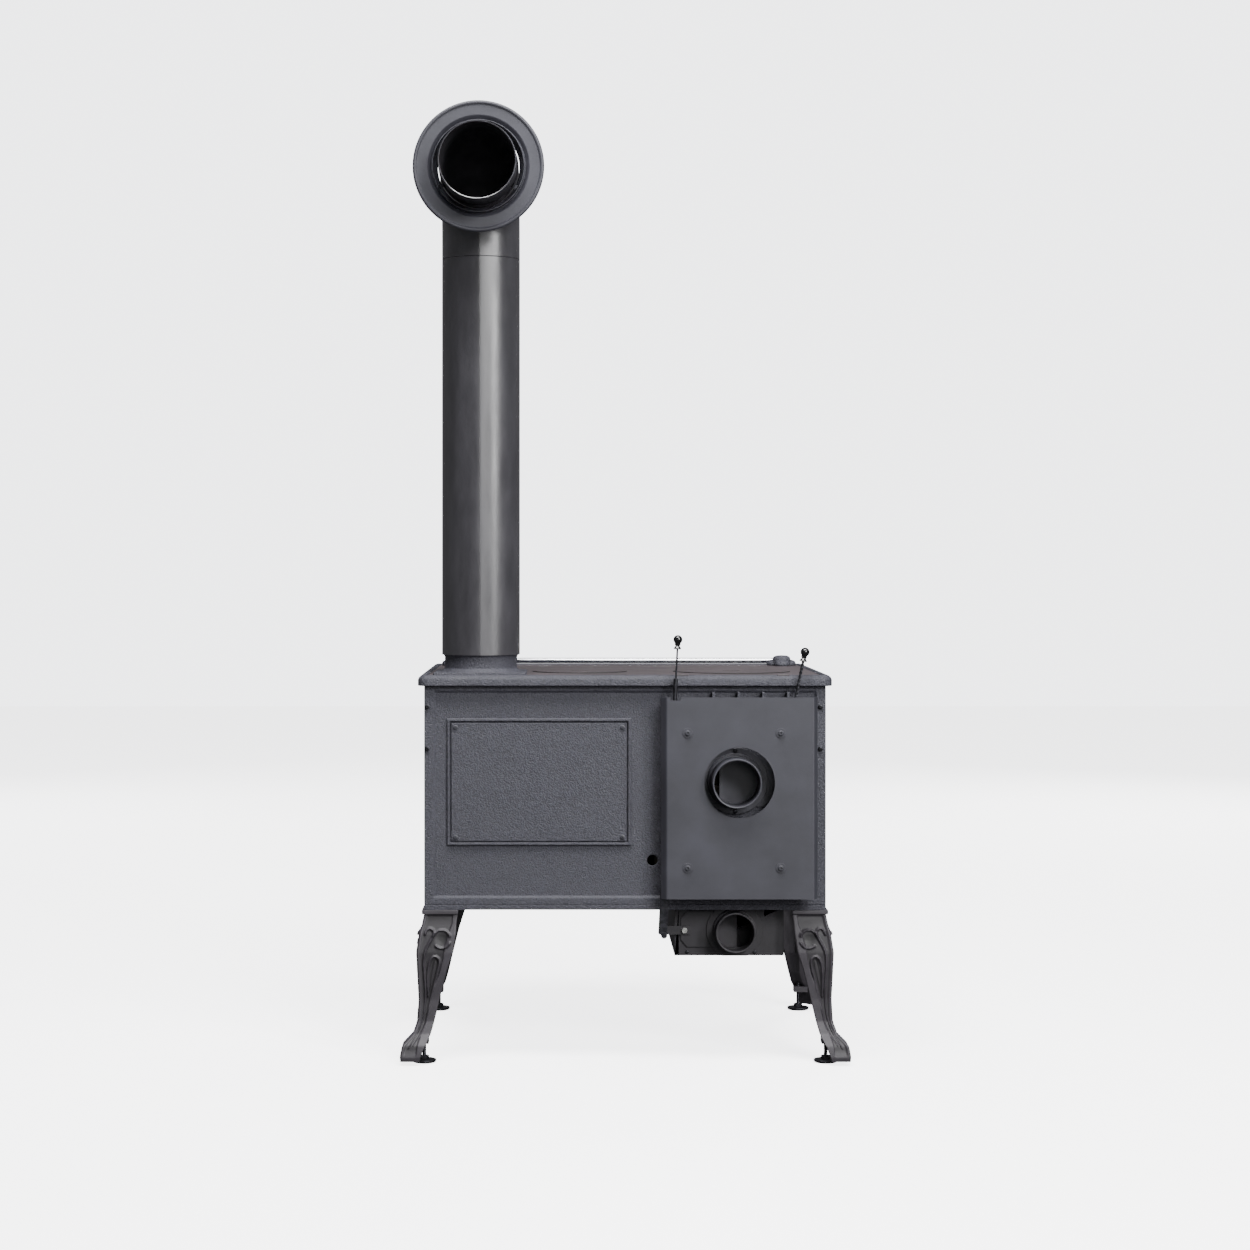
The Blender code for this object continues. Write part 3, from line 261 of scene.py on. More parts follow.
def vermiculite_board(colours, sizes):
    # Pressed vermiculite board, smoked by the fire: brown and flaky.
    return surface("pressed vermiculite board", colours.brick, (0.85, 0.95), patch=(25 * MM, 0.3 * MM),
                   fine=(3 * MM, 0.15 * MM), contrast=0.2)[0]


def sooted_steel_and_painted_shade(colours, sizes):
    # Bare steel sheet coated with dry soot: nearly black and quite flat. On the hot plates' edges it is
    # painted shade.
    return surface("sheet steel, dry soot and painted shade", colours.soot_and_shade, (0.75, 0.85), patch=(12 * MM, 0.4 * MM),
                   fine=(2 * MM, 0.2 * MM), contrast=0.4)[0]


def ceramic_glass(colours, sizes):
    # Clear glass ceramic, slightly amber, hazed by smoke.
    return surface("glass ceramic pane", "#8E8474", (0.02, 0.16), patch=(60 * MM, 0.0),
                   fine=(5 * MM, 0.0),
                   contrast=0.05, Transmission_Weight=0.92, IOR=1.52)[0]


FINISHES = {"cast": painted_cast_iron, "hob": seasoned_hob_iron, "sheet": painted_sheet,
            "pipe": painted_pipe, "leg": leg_cast_iron, "box": painted_box_sheet,
            "dark": blackened_steel, "zinc": zinc_plate, "chrome": chrome_plate,
            "knob": moulded_phenolic, "brick": vermiculite_board, "soot_and_shade": sooted_steel_and_painted_shade,
            "glass": ceramic_glass}
finished = {}


def finish_of(key):
    """The material of one finish, made the first time it is asked for."""
    if key not in finished:
        scene = bpy.context.scene
        finished[key] = FINISHES[key](scene.stove_colours, scene.stove_sizes)
    return finished[key]


# Mesh tools -------------------------------------------------------------------------------------
def body_of(node):
    return next(body for body, members in frame["record"]["behaviour"]["bodies"].items() if node in members)


def place_piece(piece, finish, body, node=None):
    """Give a piece its finish and body, and hide the node it stands for."""
    piece.data.materials.clear()
    piece.data.materials.append(finish_of(finish))
    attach(piece, body)
    if node:
        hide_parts(node)
    return piece


def piece_from(name, bm, finish, body=None, node=None, angle=30, bevel=0.0, segments=2,
               home=HOME):
    """Make a smooth shaded piece from a mesh drawn round HOME. With a node it takes its body."""
    bmesh.ops.translate(bm, vec=home, verts=bm.verts)
    bmesh.ops.remove_doubles(bm, verts=bm.verts, dist=1e-6)
    bmesh.ops.recalc_face_normals(bm, faces=bm.faces)
    mesh = bpy.data.meshes.new(name)
    bm.to_mesh(mesh)
    bm.free()
    mesh.shade_smooth()
    mesh.set_sharp_from_angle(angle=math.radians(angle))
    piece = bpy.data.objects.new(name, mesh)
    bpy.context.scene.collection.objects.link(piece)
    if bevel:
        round_edges(piece, bevel, segments)
    piece.modifiers.new("Flat faces stay flat", "WEIGHTED_NORMAL").keep_sharp = True
    return place_piece(piece, finish, body or body_of(node), node)


def round_edges(piece, width, segments=2):
    modifier = piece.modifiers.new("Rounded edges", "BEVEL")
    modifier.width = width
    modifier.segments = segments
    modifier.limit_method = "ANGLE"
    modifier.angle_limit = math.radians(35)
    modifier.harden_normals = True
    return modifier


def refined(node, name, finish, bevel, segments=2):
    """A carried-over shape with true rounded edges: the node's own mesh, cleaned and bevelled."""
    bm = bmesh.new()
    bm.from_mesh(NODES[node].data)
    bmesh.ops.remove_doubles(bm, verts=bm.verts, dist=1e-5)
    bmesh.ops.dissolve_limit(bm, angle_limit=math.radians(1), verts=bm.verts, edges=bm.edges)
    return piece_from(name, bm, finish, node=node, bevel=bevel, segments=segments, home=Vector())


def add_box(bm, low, high):
    low, high = Vector(low), Vector(high)
    corners = bmesh.ops.create_cube(bm, size=1.0)["verts"]
    bmesh.ops.scale(bm, vec=high - low, verts=corners)
    bmesh.ops.translate(bm, vec=(low + high) / 2, verts=corners)


def skin(bm, rings, closed=False):
    """Join rings of points with faces, closed into a loop or with a cap on each end."""
    loops = [[bm.verts.new(point) for point in ring] for ring in rings]
    pairs = list(zip(loops, loops[1:]))
    if closed:
        pairs.append((loops[-1], loops[0]))
    else:
        bm.faces.new(loops[0])
        bm.faces.new(reversed(loops[-1]))
    for lower, upper in pairs:
        for i, corner in enumerate(lower):
            j = (i + 1) % len(lower)
            bm.faces.new((corner, lower[j], upper[j], upper[i]))


def add_turned(bm, profile, origin, axis, steps=64):
    """Turn a profile of (radius, height) points about an axis. It is a ring if it leaves the axis."""
    up, side, _ = AXES[axis]
    origin = Vector(origin)
    points = [bm.verts.new(origin + side * radius + up * height) for radius, height in profile]
    edges = [bm.edges.new(pair) for pair in zip(points, points[1:])]
    if profile[0][0] > 0:
        edges.append(bm.edges.new((points[-1], points[0])))
    bmesh.ops.spin(bm, geom=points + edges, cent=origin, axis=up, angle=math.tau, steps=steps,
                   use_merge=True)


def turned(*profile_and_place, **settings):
    """A new mesh with one turned shape in it."""
    bm = bmesh.new()
    add_turned(bm, *profile_and_place, **settings)
    return bm


def boxed(low, high):
    """A new mesh with one box in it."""
    bm = bmesh.new()
    add_box(bm, low, high)
    return bm


def skinned(rings, closed=False):
    """A new mesh with one skin in it."""
    bm = bmesh.new()
    skin(bm, rings, closed)
    return bm


def fillet(profile, radius, steps=4):
    """Round the inner corners of an open profile with short arcs, each at most a third of its sides."""
    points = [Vector(p) for p in profile]
    rounded = [points[0]]
    for before, corner, after in zip(points, points[1:], points[2:]):
        into, out = before - corner, after - corner
        reach = min(radius, into.length / 3, out.length / 3)
        start = corner + into.normalized() * reach
        end = corner + out.normalized() * reach
        for step in range(steps + 1):
            t = step / steps
            rounded.append(start.lerp(corner, t).lerp(corner.lerp(end, t), t))
    rounded.append(points[-1])
    return [tuple(p) for p in rounded]


def cutter(name, bm):
    bmesh.ops.remove_doubles(bm, verts=bm.verts, dist=1e-6)
    bmesh.ops.recalc_face_normals(bm, faces=bm.faces)
    mesh = bpy.data.meshes.new(name)
    bm.to_mesh(mesh)
    bm.free()
    tool = bpy.data.objects.new(name, mesh)
    bpy.context.scene.collection.objects.link(tool)
    return tool


def carve(target_bm, tool_bm, operation="DIFFERENCE"):
    """Apply one exact Boolean between two meshes and return the result as a mesh."""
    target, tool = cutter("work", target_bm), cutter("tool", tool_bm)
    modifier = target.modifiers.new("Carve", "BOOLEAN")
    modifier.operation = operation
    modifier.object = tool
    graph = bpy.context.evaluated_depsgraph_get()
    result = bmesh.new()
    result.from_mesh(target.evaluated_get(graph).to_mesh())
    for spent in (target, tool):
        mesh = spent.data
        bpy.data.objects.remove(spent)
        bpy.data.meshes.remove(mesh)
    bmesh.ops.dissolve_limit(result, angle_limit=math.radians(0.5), verts=result.verts,
                             edges=result.edges)
    return result


# Body plates ------------------------------------------------------------------------------------
BODY_X = 0.3875                  # half of the body's width
BODY_Y = 0.288                   # rear face of the body's castings
RECESS_Y = 0.284                 # sunk panel of the rear plate
SURFACE_Z = 0.743                # cooking surface
UPPER_INLET = (-0.212, 0.542)    # centres of the air inlets, seen from behind
LOWER_INLET = (-0.213, 0.2495)
FOOT_X, FOOT_Y = 0.387, 0.2875   # axes of the levelling feet


def ring_bead(bm, low, high, width, back, front, round_over=0.0012):
    """A rectangular bead in the XZ plane with rounded outer and inner arrises."""
    rings = []
    for inset, y in ((0, back), (0, front - round_over), (round_over * 0.3, front - round_over * 0.3),
                     (round_over, front), (width - round_over, front),
                     (width - round_over * 0.3, front - round_over * 0.3), (width, front - round_over),
                     (width, back)):
        rings.append([(low[0] + inset, y, low[1] + inset), (high[0] - inset, y, low[1] + inset),
                      (high[0] - inset, y, high[1] - inset), (low[0] + inset, y, high[1] - inset)])
    skin(bm, rings, closed=True)


class STOVE_OT_body_plates(bpy.types.Operator):
    """Cast the base, the side plates, the rear plate with its sunk panel, and the front frame"""
    bl_idname = "stove.body_plates"
    bl_label = "Body plates"

    def execute(self, context):
        edge = context.scene.stove_sizes.cast_edge
        for node in ("base_plate", "side_plate_left", "side_plate_right", "front_frame"):
            refined(node, node + "_casting", "cast", edge * 0.6)
        self.rear_plate(edge)
        return {"FINISHED"}

    def rear_plate(self, edge):
        bm = boxed((-BODY_X, 0.276, 0.3033), (BODY_X, BODY_Y, 0.7247))
        tool = skinned([[(-0.3655 - d, y, 0.3200 - d), (0.3655 + d, y, 0.3200 - d),
                         (0.3655 + d, y, 0.7116 + d), (-0.3655 - d, y, 0.7116 + d)]
                        for d, y in ((0, RECESS_Y), (0.0045, BODY_Y + 0.0002))])
        bm = carve(bm, tool)
        raised = bmesh.new()
        ring_bead(raised, (-0.0115, 0.4172), (0.3433, 0.6618), 0.0058, RECESS_Y - 0.002,
                  BODY_Y + 0.0012, 0.0018)
        bm = carve(bm, raised, "UNION")
        fins = bmesh.new()
        for x in (-0.170, -0.2185, -0.266, -0.314):
            for low_z, high_z in ((0.680, 0.7135), (0.335, 0.450)):
                skin(fins, [[(x - w, y, low_z), (x + w, y, low_z), (x + w, y, high_z),
                             (x - w, y, high_z)]
                            for w, y in ((0.0032, RECESS_Y - 0.002), (0.0023, 0.3000))])
        bm = carve(bm, fins, "UNION")
        holes = boxed((0.020, 0.27, 0.440), (0.320, 0.29, 0.640))
        add_turned(holes, [(0, 0.27), (0.0105, 0.27), (0.0105, 0.31), (0, 0.31)], (-0.053, 0, 0.388),
                   "Y", 48)
        add_turned(holes, [(0, 0.27), (0.042, 0.27), (0.042, 0.31), (0, 0.31)],
                   (UPPER_INLET[0], 0, UPPER_INLET[1]), "Y", 64)
        bm = carve(bm, holes)
        piece_from("rear_casting", bm, "cast", node="rear_plate", bevel=edge * 0.7, segments=3)


class STOVE_OT_cooktop(bpy.types.Operator):
    """Lay the cooktop with its rounded rim, and the two lift-out hot plates"""
    bl_idname = "stove.cooktop"
    bl_label = "Cooktop and hot plates"

    def execute(self, context):
        top = refined("cooktop", "cooktop_casting", "cast", 0.0005)
        top.data.materials.append(finish_of("hob"))
        for face in top.data.polygons:
            if face.normal.z > 0.99 and abs(face.center.z - SURFACE_Z) < 0.0002:
                face.material_index = 1
        self.shelf_pads()
        for node in ("hot_plate_large", "hot_plate_small"):
            self.hot_plate(node)
        return {"FINISHED"}

    def shelf_pads(self):
        """Two slim pads cast on the rim's wall side, where the warming shelf would be screwed down."""
        bm = bmesh.new()
        for x in (-0.111, -0.305):
            skin(bm, [rounded_slab(x, 0.2905, 0.01175 - i, 0.0042 - i * 0.5, 0.0015, z)
                      for i, z in ((0, 0.7452), (0, 0.7466), (0.0006, 0.7472))])
        piece_from("shelf_pads", bm, "hob", body="stove")

    def hot_plate(self, node):
        low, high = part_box(node)
        x, y = (low.x + high.x) / 2 - HOME.x, (low.y + high.y) / 2 - HOME.y
        radius, top, bottom = (high.x - low.x) / 2, high.z + 0.0020, low.z
        profile = [(0, bottom), (radius - 0.001, bottom), (radius, bottom + 0.001),
                   (radius, top - 0.0008),
                   (radius - 0.0003, top - 0.0002), (radius - 0.0010, top)]
        for groove in (radius - 0.009, radius * 0.62):
            profile += [(groove, top), (groove - 0.0006, top - 0.0007), (groove - 0.0014, top - 0.0007),
                        (groove - 0.0020, top)]
        profile += [(0, top)]
        bm = turned(profile, (x, y, 0), "Z", 128)
        tool = boxed((x - 0.018, y - 0.006, top - 0.004), (x + 0.018, y + 0.006, top + 0.002))
        bm = carve(bm, tool)
        plate = piece_from(node + "_iron", bm, "hob", node=node)
        # The plate's upright edge takes the soot black: painted shade that stands in for the dark gap round
        # the plate.
        plate.data.materials.append(finish_of("soot_and_shade"))
        middle = Vector((x, y)) + HOME.xy
        for face in plate.data.polygons:
            upright = abs(face.normal.z) < 0.6 and face.center.z > bottom + 0.001
            if upright and (face.center.xy - middle).length > radius * 0.99:
                face.material_index = 1


def rounded_slab(x, y, half_x, half_y, radius, z, steps=5):
    points = []
    for quarter, (sx, sy) in enumerate(((1, 1), (-1, 1), (-1, -1), (1, -1))):
        for step in range(steps + 1):
            turn = math.radians(90) * (quarter + step / steps)
            points.append((x + sx * (half_x - radius) + radius * math.cos(turn),
                           y + sy * (half_y - radius) + radius * math.sin(turn), z))
    return points


# Rear fittings ----------------------------------------------------------------------------------
def add_screw(bm, x, z, seat, radius, height, recess, sides=4, flat=False):
    """A domed or cheese head with a driven recess, standing on the plane y = seat."""
    dome = 0.35 if flat else 0.75
    head = [(0, seat - 0.001), (radius, seat - 0.001), (radius, seat + height * (1 - dome))]
    head += [(radius * math.cos(t) ** 0.8, seat + height * (1 - dome) + height * dome * math.sin(t))
             for t in (math.radians(a) for a in (18, 36, 54, 72))]
    head += [(0, seat + height)]
    shape = turned(head, (x, 0, z), "Y", 40)
    if sides == 4:
        floor, top, narrow = seat + height * 0.35, seat + height * 2, recess * 0.22
        across = boxed((x - recess, floor, z - narrow), (x + recess, top, z + narrow))
        upright = boxed((x - narrow, floor, z - recess), (x + narrow, top, z + recess))
        tool = carve(across, upright, "UNION")
    else:
        floor, top = seat + height * 0.25, seat + height * 2
        tool = turned([(0, floor), (recess, floor), (recess, top), (0, top)], (x, 0, z), "Y", sides)
    append_mesh(bm, carve(shape, tool))


def append_mesh(bm, other):
    """Move one mesh into another."""
    mesh = bpy.data.meshes.new("moved")
    other.to_mesh(mesh)
    other.free()
    bm.from_mesh(mesh)
    bpy.data.meshes.remove(mesh)


class STOVE_OT_oven_cover(bpy.types.Operator):
    """Screw the flat cover over the oven's cleaning opening, and the four bolts into the side flanges"""
    bl_idname = "stove.oven_cover"
    bl_label = "Oven cleaning cover"

    def execute(self, context):
        sizes = context.scene.stove_sizes
        bm = boxed((-0.0032, 0.2843, 0.4255), (0.3350, 0.2883, 0.6535))
        piece_from("cleaning_cover_plate", bm, "cast", node="oven_access_cover",
                   bevel=sizes.cast_edge * 0.7,
                   segments=3)
        for number in range(1, 5):
            node = f"cover_screw_{number}"
            low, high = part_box(node)
            bm = bmesh.new()
            add_screw(bm, (low.x + high.x) / 2 - HOME.x, (low.z + high.z) / 2, 0.2886, 0.0050, 0.0022,
                      0.0029)
            piece_from(f"cover_screw_head_{number}", bm, "sheet", node=node)
            node = f"side_bolt_{number}"
            low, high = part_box(node)
            bm = bmesh.new()
            add_screw(bm, (low.x + high.x) / 2 - HOME.x, (low.z + high.z) / 2, 0.2883, 0.0048, 0.0040,
                      0.0022, 6,
                      True)
            piece_from(f"side_bolt_head_{number}", bm, "dark", node=node)
        return {"FINISHED"}


# Flue -------------------------------------------------------------------------------------------
FLUE_X, FLUE_Y = 0.282, 0.160
PIPE_R = 0.077
PIPE_WALL = 0.002
BEND_R = 0.125
OUTLET_Z = 1.724
OUTLET_R = 0.074
OUTLET_END = 0.391


def seam_section(sizes):
    """(angle, extra radius) round a rolled tube: its sheet's ends meet in a peak with a weld bead."""
    half = math.asin(sizes.seam_width / 2 / PIPE_R)
    reach = math.radians(28)
    turns = [half * a for a in (-1.6, -1.0, -0.85, -0.5, 0.0, 0.5, 0.85, 1.0, 1.6)]
    beads = [0.0, -0.25, 0.35, 0.9, 1.0, 0.9, 0.35, -0.25, 0.0]
    rest = [half * 1.6 + (math.tau - half * 3.2) * i / 120 for i in range(1, 120)]
    section = []
    for turn, bead in list(zip(turns, beads)) + [(t, 0.0) for t in rest]:
        away = min(abs(turn), math.tau - abs(turn))
        peak = sizes.seam_peak * max(0.0, 1 - away / reach) ** 2
        section.append((turn, peak + bead * sizes.seam_height))
    return section


class STOVE_OT_flue(bpy.types.Operator):
    """Stand the flue collar, the seamed pipe, the elbow and the wall rosette with its spring clips"""
    bl_idname = "stove.flue"
    bl_label = "Flue"

    def execute(self, context):
        sizes = context.scene.stove_sizes
        self.collar()
        self.pipe(sizes)
        self.elbow(sizes)
        self.rosette()
        return {"FINISHED"}

    def collar(self):
        base = 0.7433
        bm = skinned([rounded_slab(FLUE_X, FLUE_Y, 0.0905 - i, 0.0905 - i, 0.0060, z)
                      for i, z in ((0, base), (0, base + 0.0038), (0.0004, base + 0.0046),
                                   (0.0012, base + 0.0050))])
        spigot = fillet([(0.0660, base - 0.0002), (0.0800, base - 0.0002), (0.0800, base + 0.0045),
                         (0.0715, base + 0.0120), (0.0715, 0.7775), (0.0745, 0.7825), (0.0745, 0.8175),
                         (0.0705, 0.8175), (0.0660, 0.7700)], 0.002)
        bore = turned([(0, base - 0.01), (0.0660, base - 0.01), (0.0660, base + 0.02), (0, base + 0.02)],
                (FLUE_X, FLUE_Y, 0), "Z", 96)
        bm = carve(bm, bore)
        ring = turned(spigot, (FLUE_X, FLUE_Y, 0), "Z", 96)
        bm = carve(bm, ring, "UNION")
        piece_from("flue_collar_casting", bm, "cast", node="flue_collar")

    def pipe(self, sizes):
        around = seam_section(sizes)
        low, high = 0.7815, 1.561
        stations = [(PIPE_R - PIPE_WALL, low), (PIPE_R - 0.0004, low), (PIPE_R, low + 0.0004)]
        stations += [(PIPE_R, low + 0.0004 + (high - low - 0.0008) * i / 24) for i in range(1, 25)]
        stations += [(PIPE_R - 0.0004, high), (PIPE_R - PIPE_WALL, high)]
        rings = []
        for radius, z in stations:
            rings.append([(FLUE_X + (radius + lift) * math.sin(t),
                           FLUE_Y + (radius + lift) * math.cos(t), z)
                          for t, lift in around])
        bm = skinned(rings, closed=True)
        piece_from("flue_pipe_tube", bm, "pipe", node="flue_pipe", angle=40)

    def elbow(self, sizes):
        bend_y, bend_z = FLUE_Y + BEND_R, OUTLET_Z - BEND_R
        start, end = 1.5616 - bend_z, OUTLET_END - bend_y
        bend = [(90 * i / 40, 0) for i in range(41)]
        sleeve = PIPE_R - PIPE_WALL - 0.0005
        stations = [(0, start - 0.030, sleeve), (0, start, sleeve), (0, start, PIPE_R - 0.0004),
                    (0, start + 0.0004, PIPE_R)]
        stations += [(angle, offset, PIPE_R) for angle, offset in bend]
        stations += [(90, 0.0120, PIPE_R), (90, 0.0130, PIPE_R - 0.0006),
                     (90, 0.0160, OUTLET_R + 0.0005),
                     (90, 0.0175, OUTLET_R), (90, end - 0.0022, OUTLET_R),
                     (90, end - 0.0012, OUTLET_R + 0.0007),
                     (90, end - 0.0002, OUTLET_R + 0.0003), (90, end, OUTLET_R - 0.0008),
                     (90, end - 0.0008, OUTLET_R - PIPE_WALL)]
        stations += [(90, 0.012, OUTLET_R - PIPE_WALL)]
        stations += [(angle, offset, sleeve - PIPE_WALL) for angle, offset in reversed(bend)]
        stations += [(0, start - 0.030, sleeve - PIPE_WALL)]
        rings = []
        for angle, offset, radius in stations:
            turn = math.radians(angle)
            across = Vector((0, -math.cos(turn), math.sin(turn)))
            along = Vector((0, math.sin(turn), math.cos(turn)))
            centre = Vector((FLUE_X, bend_y, bend_z)) + across * BEND_R + along * offset
            fade = max(0.0, 1 - angle / 80)
            ring = []
            for t, lift in seam_section(sizes):
                reach = radius + lift * fade
                ring.append(centre + Vector((reach * math.sin(t), 0, 0)) - across * reach * math.cos(t))
            rings.append(ring)
        bm = skinned(rings, closed=True)
        elbow = piece_from("flue_elbow_tube", bm, "pipe", node="flue_elbow", angle=40)
        elbow.data.materials.append(finish_of("dark"))
        for face in elbow.data.polygons:
            if face.center.y - HOME.y > OUTLET_END - 0.0004:
                face.material_index = 1

    def rosette(self):
        middle, rim, outer = 0.312, 0.0042, 0.1265
        front, back = middle + 0.0015, middle - 0.0015
        profile = fillet([(0.0786, 0.2900), (0.0862, back - 0.010), (0.0874, front + 0.006),
                          (0.0888, front + 0.006), (0.0897, front - 0.0060), (0.0908, front - 0.0070),
                          (0.0968, front - 0.0010), (0.0985, front), (outer - 2.2 * rim, front)],
                         0.0015, 4)
        profile += [(outer - rim + rim * math.cos(t), middle + rim * math.sin(t))
                    for t in (math.radians(150 - 15 * i) for i in range(21))]
        profile += fillet([(outer - 2.2 * rim, back), (0.0985, back), (0.0908, back - 0.0070),
                           (0.0885, back - 0.0100), (0.0796, 0.2894)], 0.0015)
        bm = turned(profile, (FLUE_X, 0, OUTLET_Z), "Y", 160)
        piece_from("rosette_pressing", bm, "sheet", node="wall_rosette", angle=50)
        clips = bmesh.new()
        for angle in (90, 210, 330):
            turn = math.radians(angle)
            out = Vector((math.cos(turn), 0, math.sin(turn)))
            side = Vector((-math.sin(turn), 0, math.cos(turn)))
            centre = Vector((FLUE_X, 0, OUTLET_Z))
            spine = [(0.0868, 0.3150), (0.0868, 0.3205), (0.0855, 0.3232), (0.0820, 0.3245),
                     (0.0785, 0.3238), (0.0760, 0.3210), (0.0752, 0.3180), (0.0758, 0.3152),
                     (0.0772, 0.3138)]
            rings = []
            for i, (radius, y) in enumerate(spine):
                before, after = spine[max(i - 1, 0)], spine[min(i + 1, len(spine) - 1)]
                along = Vector((after[0] - before[0], after[1] - before[1])).normalized() * 0.0003
                across = (-along.y, along.x)
                rings.append([centre + out * (radius + s * across[0]) + side * w
                              + Vector((0, y + s * across[1], 0))
                              for s, w in ((1, -0.004), (1, 0.004), (-1, 0.004), (-1, -0.004))])
            skin(clips, rings)
        piece_from("rosette_spring_clips", clips, "dark", body="wall_rosette")


# Heat shield ------------------------------------------------------------------------------------
SHIELD_Y = 0.333
SHIELD_Z = (0.319, 0.705)
SHIELD_BOLTS = [(x, z) for x in (-0.297, -0.119) for z in (0.379, 0.637)]


class STOVE_OT_heat_shield(bpy.types.Operator):
    """Fold the heat shield, punch its holes and bolt it on with washers and socket screws"""
    bl_idname = "stove.heat_shield"
    bl_label = "Rear heat shield"

    def execute(self, context):
        back = SHIELD_Y - 0.0025
        outer = fillet([(-0.3680, 0.3210), (-0.3610, SHIELD_Y), (-0.0780, SHIELD_Y), (-0.0680, 0.3210)],
                       0.0028, 5)
        inner = fillet([(-0.0710, 0.3200), (-0.0793, back), (-0.3597, back), (-0.3655, 0.3200)], 0.0014,
                       5)
        bm = skinned([[(x, y, z) for x, y in outer + inner] for z in SHIELD_Z])
        holes = turned([(0, 0.32), (0.0675, 0.32), (0.0675, 0.34), (0, 0.34)], (-0.218, 0, 0.542), "Y",
                       128)
        bm = carve(bm, holes)
        notch = boxed((-0.106, 0.32, 0.699), (-0.086, 0.34, 0.71))
        bm = carve(bm, notch)
        piece_from("heat_shield_sheet", bm, "sheet", node="heat_shield", angle=40)
        for number, (x, z) in enumerate(SHIELD_BOLTS, start=1):
            self.bolt(number, x, z, back)
        return {"FINISHED"}

    def bolt(self, number, x, z, back):
        bm = bmesh.new()
        face = SHIELD_Y + 0.0003
        add_turned(bm, fillet([(0, 0.2843), (0.0070, 0.2843), (0.0070, back - 0.0003),
                               (0, back - 0.0003)], 0.0004),
                   (x, 0, z), "Y", 48)
        add_turned(bm, fillet([(0.0030, face), (0.0095, face), (0.0095, face + 0.0014),
                               (0.0030, face + 0.0014)],
                              0.0005), (x, 0, z), "Y", 48)
        shape = turned(fillet([(0, face + 0.0015), (0.0052, face + 0.0015), (0.0052, face + 0.0042),
                               (0.0040, face + 0.0052), (0, face + 0.0052)], 0.0008), (x, 0, z), "Y", 48)
        socket = turned([(0, face + 0.0026), (0.0027, face + 0.0026), (0.0027, face + 0.01),
                         (0, face + 0.01)],
                (x, 0, z), "Y", 6)
        append_mesh(bm, carve(shape, socket))
        piece_from(f"shield_socket_screw_{number}", bm, "sheet", node=f"shield_bolt_{number}")


# Air controls -----------------------------------------------------------------------------------
LEVER_Y = 0.3115
KNOB_HEIGHT = 0.027


def leaning(bm, pivot, tilt):
    """Lean a mesh drawn upright about a lever's pivot."""
    place = Matrix.Translation((pivot[0], LEVER_Y, pivot[1]))
    bmesh.ops.transform(bm, matrix=place @ Matrix.Rotation(-tilt, 4, "Y") @ place.inverted(),
                        verts=bm.verts)
    return bm


class STOVE_OT_air_inlets(bpy.types.Operator):
    """Turn the two air spigots, with their flanges, rolled lips and clamp screws"""
    bl_idname = "stove.air_inlets"
    bl_label = "Air inlets"

    def execute(self, context):
        edge = context.scene.stove_sizes.sheet_edge
        self.spigot("upper_air_spigot", *UPPER_INLET, 0.047, 0.064, 0.053, 0.2876, 0.360)
        self.spigot("lower_air_spigot", *LOWER_INLET, 0.0385, 0.0545, 0.0420, 0.2601, 0.300)
        for node, finish in (("upper_air_slide", "sheet"), ("lower_air_slide", "box"),
                             ("link_strip", "box"),
                             ("lever_guide", "sheet"), ("air_box", "box")):
            refined(node, node + "_sheet", finish, edge)
        screws = bmesh.new()
        for z in (UPPER_INLET[1] + 0.0585, UPPER_INLET[1] - 0.0585):
            add_screw(screws, UPPER_INLET[0], z, 0.2901, 0.0046, 0.0024, 0.0026)
        for x in (-0.121, -0.252):
            add_screw(screws, x, 0.2068, 0.2566, 0.0038, 0.0020, 0.0022)
        piece_from("inlet_cross_head_screws", screws, "dark", body="stove")
        bolt = bmesh.new()
        low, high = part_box("link_bolt")
        centre = ((low.x + high.x) / 2 - HOME.x, 0, (low.z + high.z) / 2)
        seat = high.y - HOME.y - 0.0042
        head = turned([(0, seat), (0.0058, seat), (0.0058, seat + 0.0042), (0, seat + 0.0042)], centre,
                      "Y", 6)
        cap = turned([(0, seat - 0.001), (0.0061, seat - 0.001), (0.0061, seat + 0.0034),
                      (0.0050, seat + 0.0042),
                      (0, seat + 0.0042)], centre, "Y", 48)
        append_mesh(bolt, carve(head, cap, "INTERSECT"))
        add_turned(bolt, [(0, low.y - HOME.y), (0.0030, low.y - HOME.y), (0.0030, seat + 0.0005),
                          (0, seat + 0.0005)], centre, "Y", 32)
        piece_from("link_hex_bolt", bolt, "zinc", node="link_bolt")
        return {"FINISHED"}

    def spigot(self, node, x, z, radius, flange, collar, start, end):
        wall = 0.003
        profile = fillet([(radius - wall, start), (flange, start), (flange, start + 0.0025),
                          (collar, start + 0.0025), (collar, start + 0.0100), (radius, start + 0.0115),
                          (radius, end - 0.0005), (radius - 0.0012, end),
                          (radius - wall, end - 0.0006)], 0.0012)
        bm = turned(profile, (x, 0, z), "Y", 128)
        if node.startswith("lower"):
            for low_z, high_z in ((0.15, 0.2005), (0.2922, 0.35)):
                tool = boxed((-0.30, 0.25, low_z), (-0.12, 0.2895, high_z))
                bm = carve(bm, tool)
            ears = ((0.204, 0.2165), (0.2875, 0.2917))
            back = 0.2568
        else:
            ears = ((0.4825, 0.4905), (0.5935, 0.6015))
            back = 0.2843
        for low_z, high_z in ears:
            ear = boxed((x - 0.015, back, low_z), (x + 0.015, start + 0.001, high_z))
            bm = carve(bm, ear, "UNION")
        piece_from(node.replace("_spigot", "_pipe_stub"), bm,
                   "sheet" if node.startswith("upper") else "box", node=node)


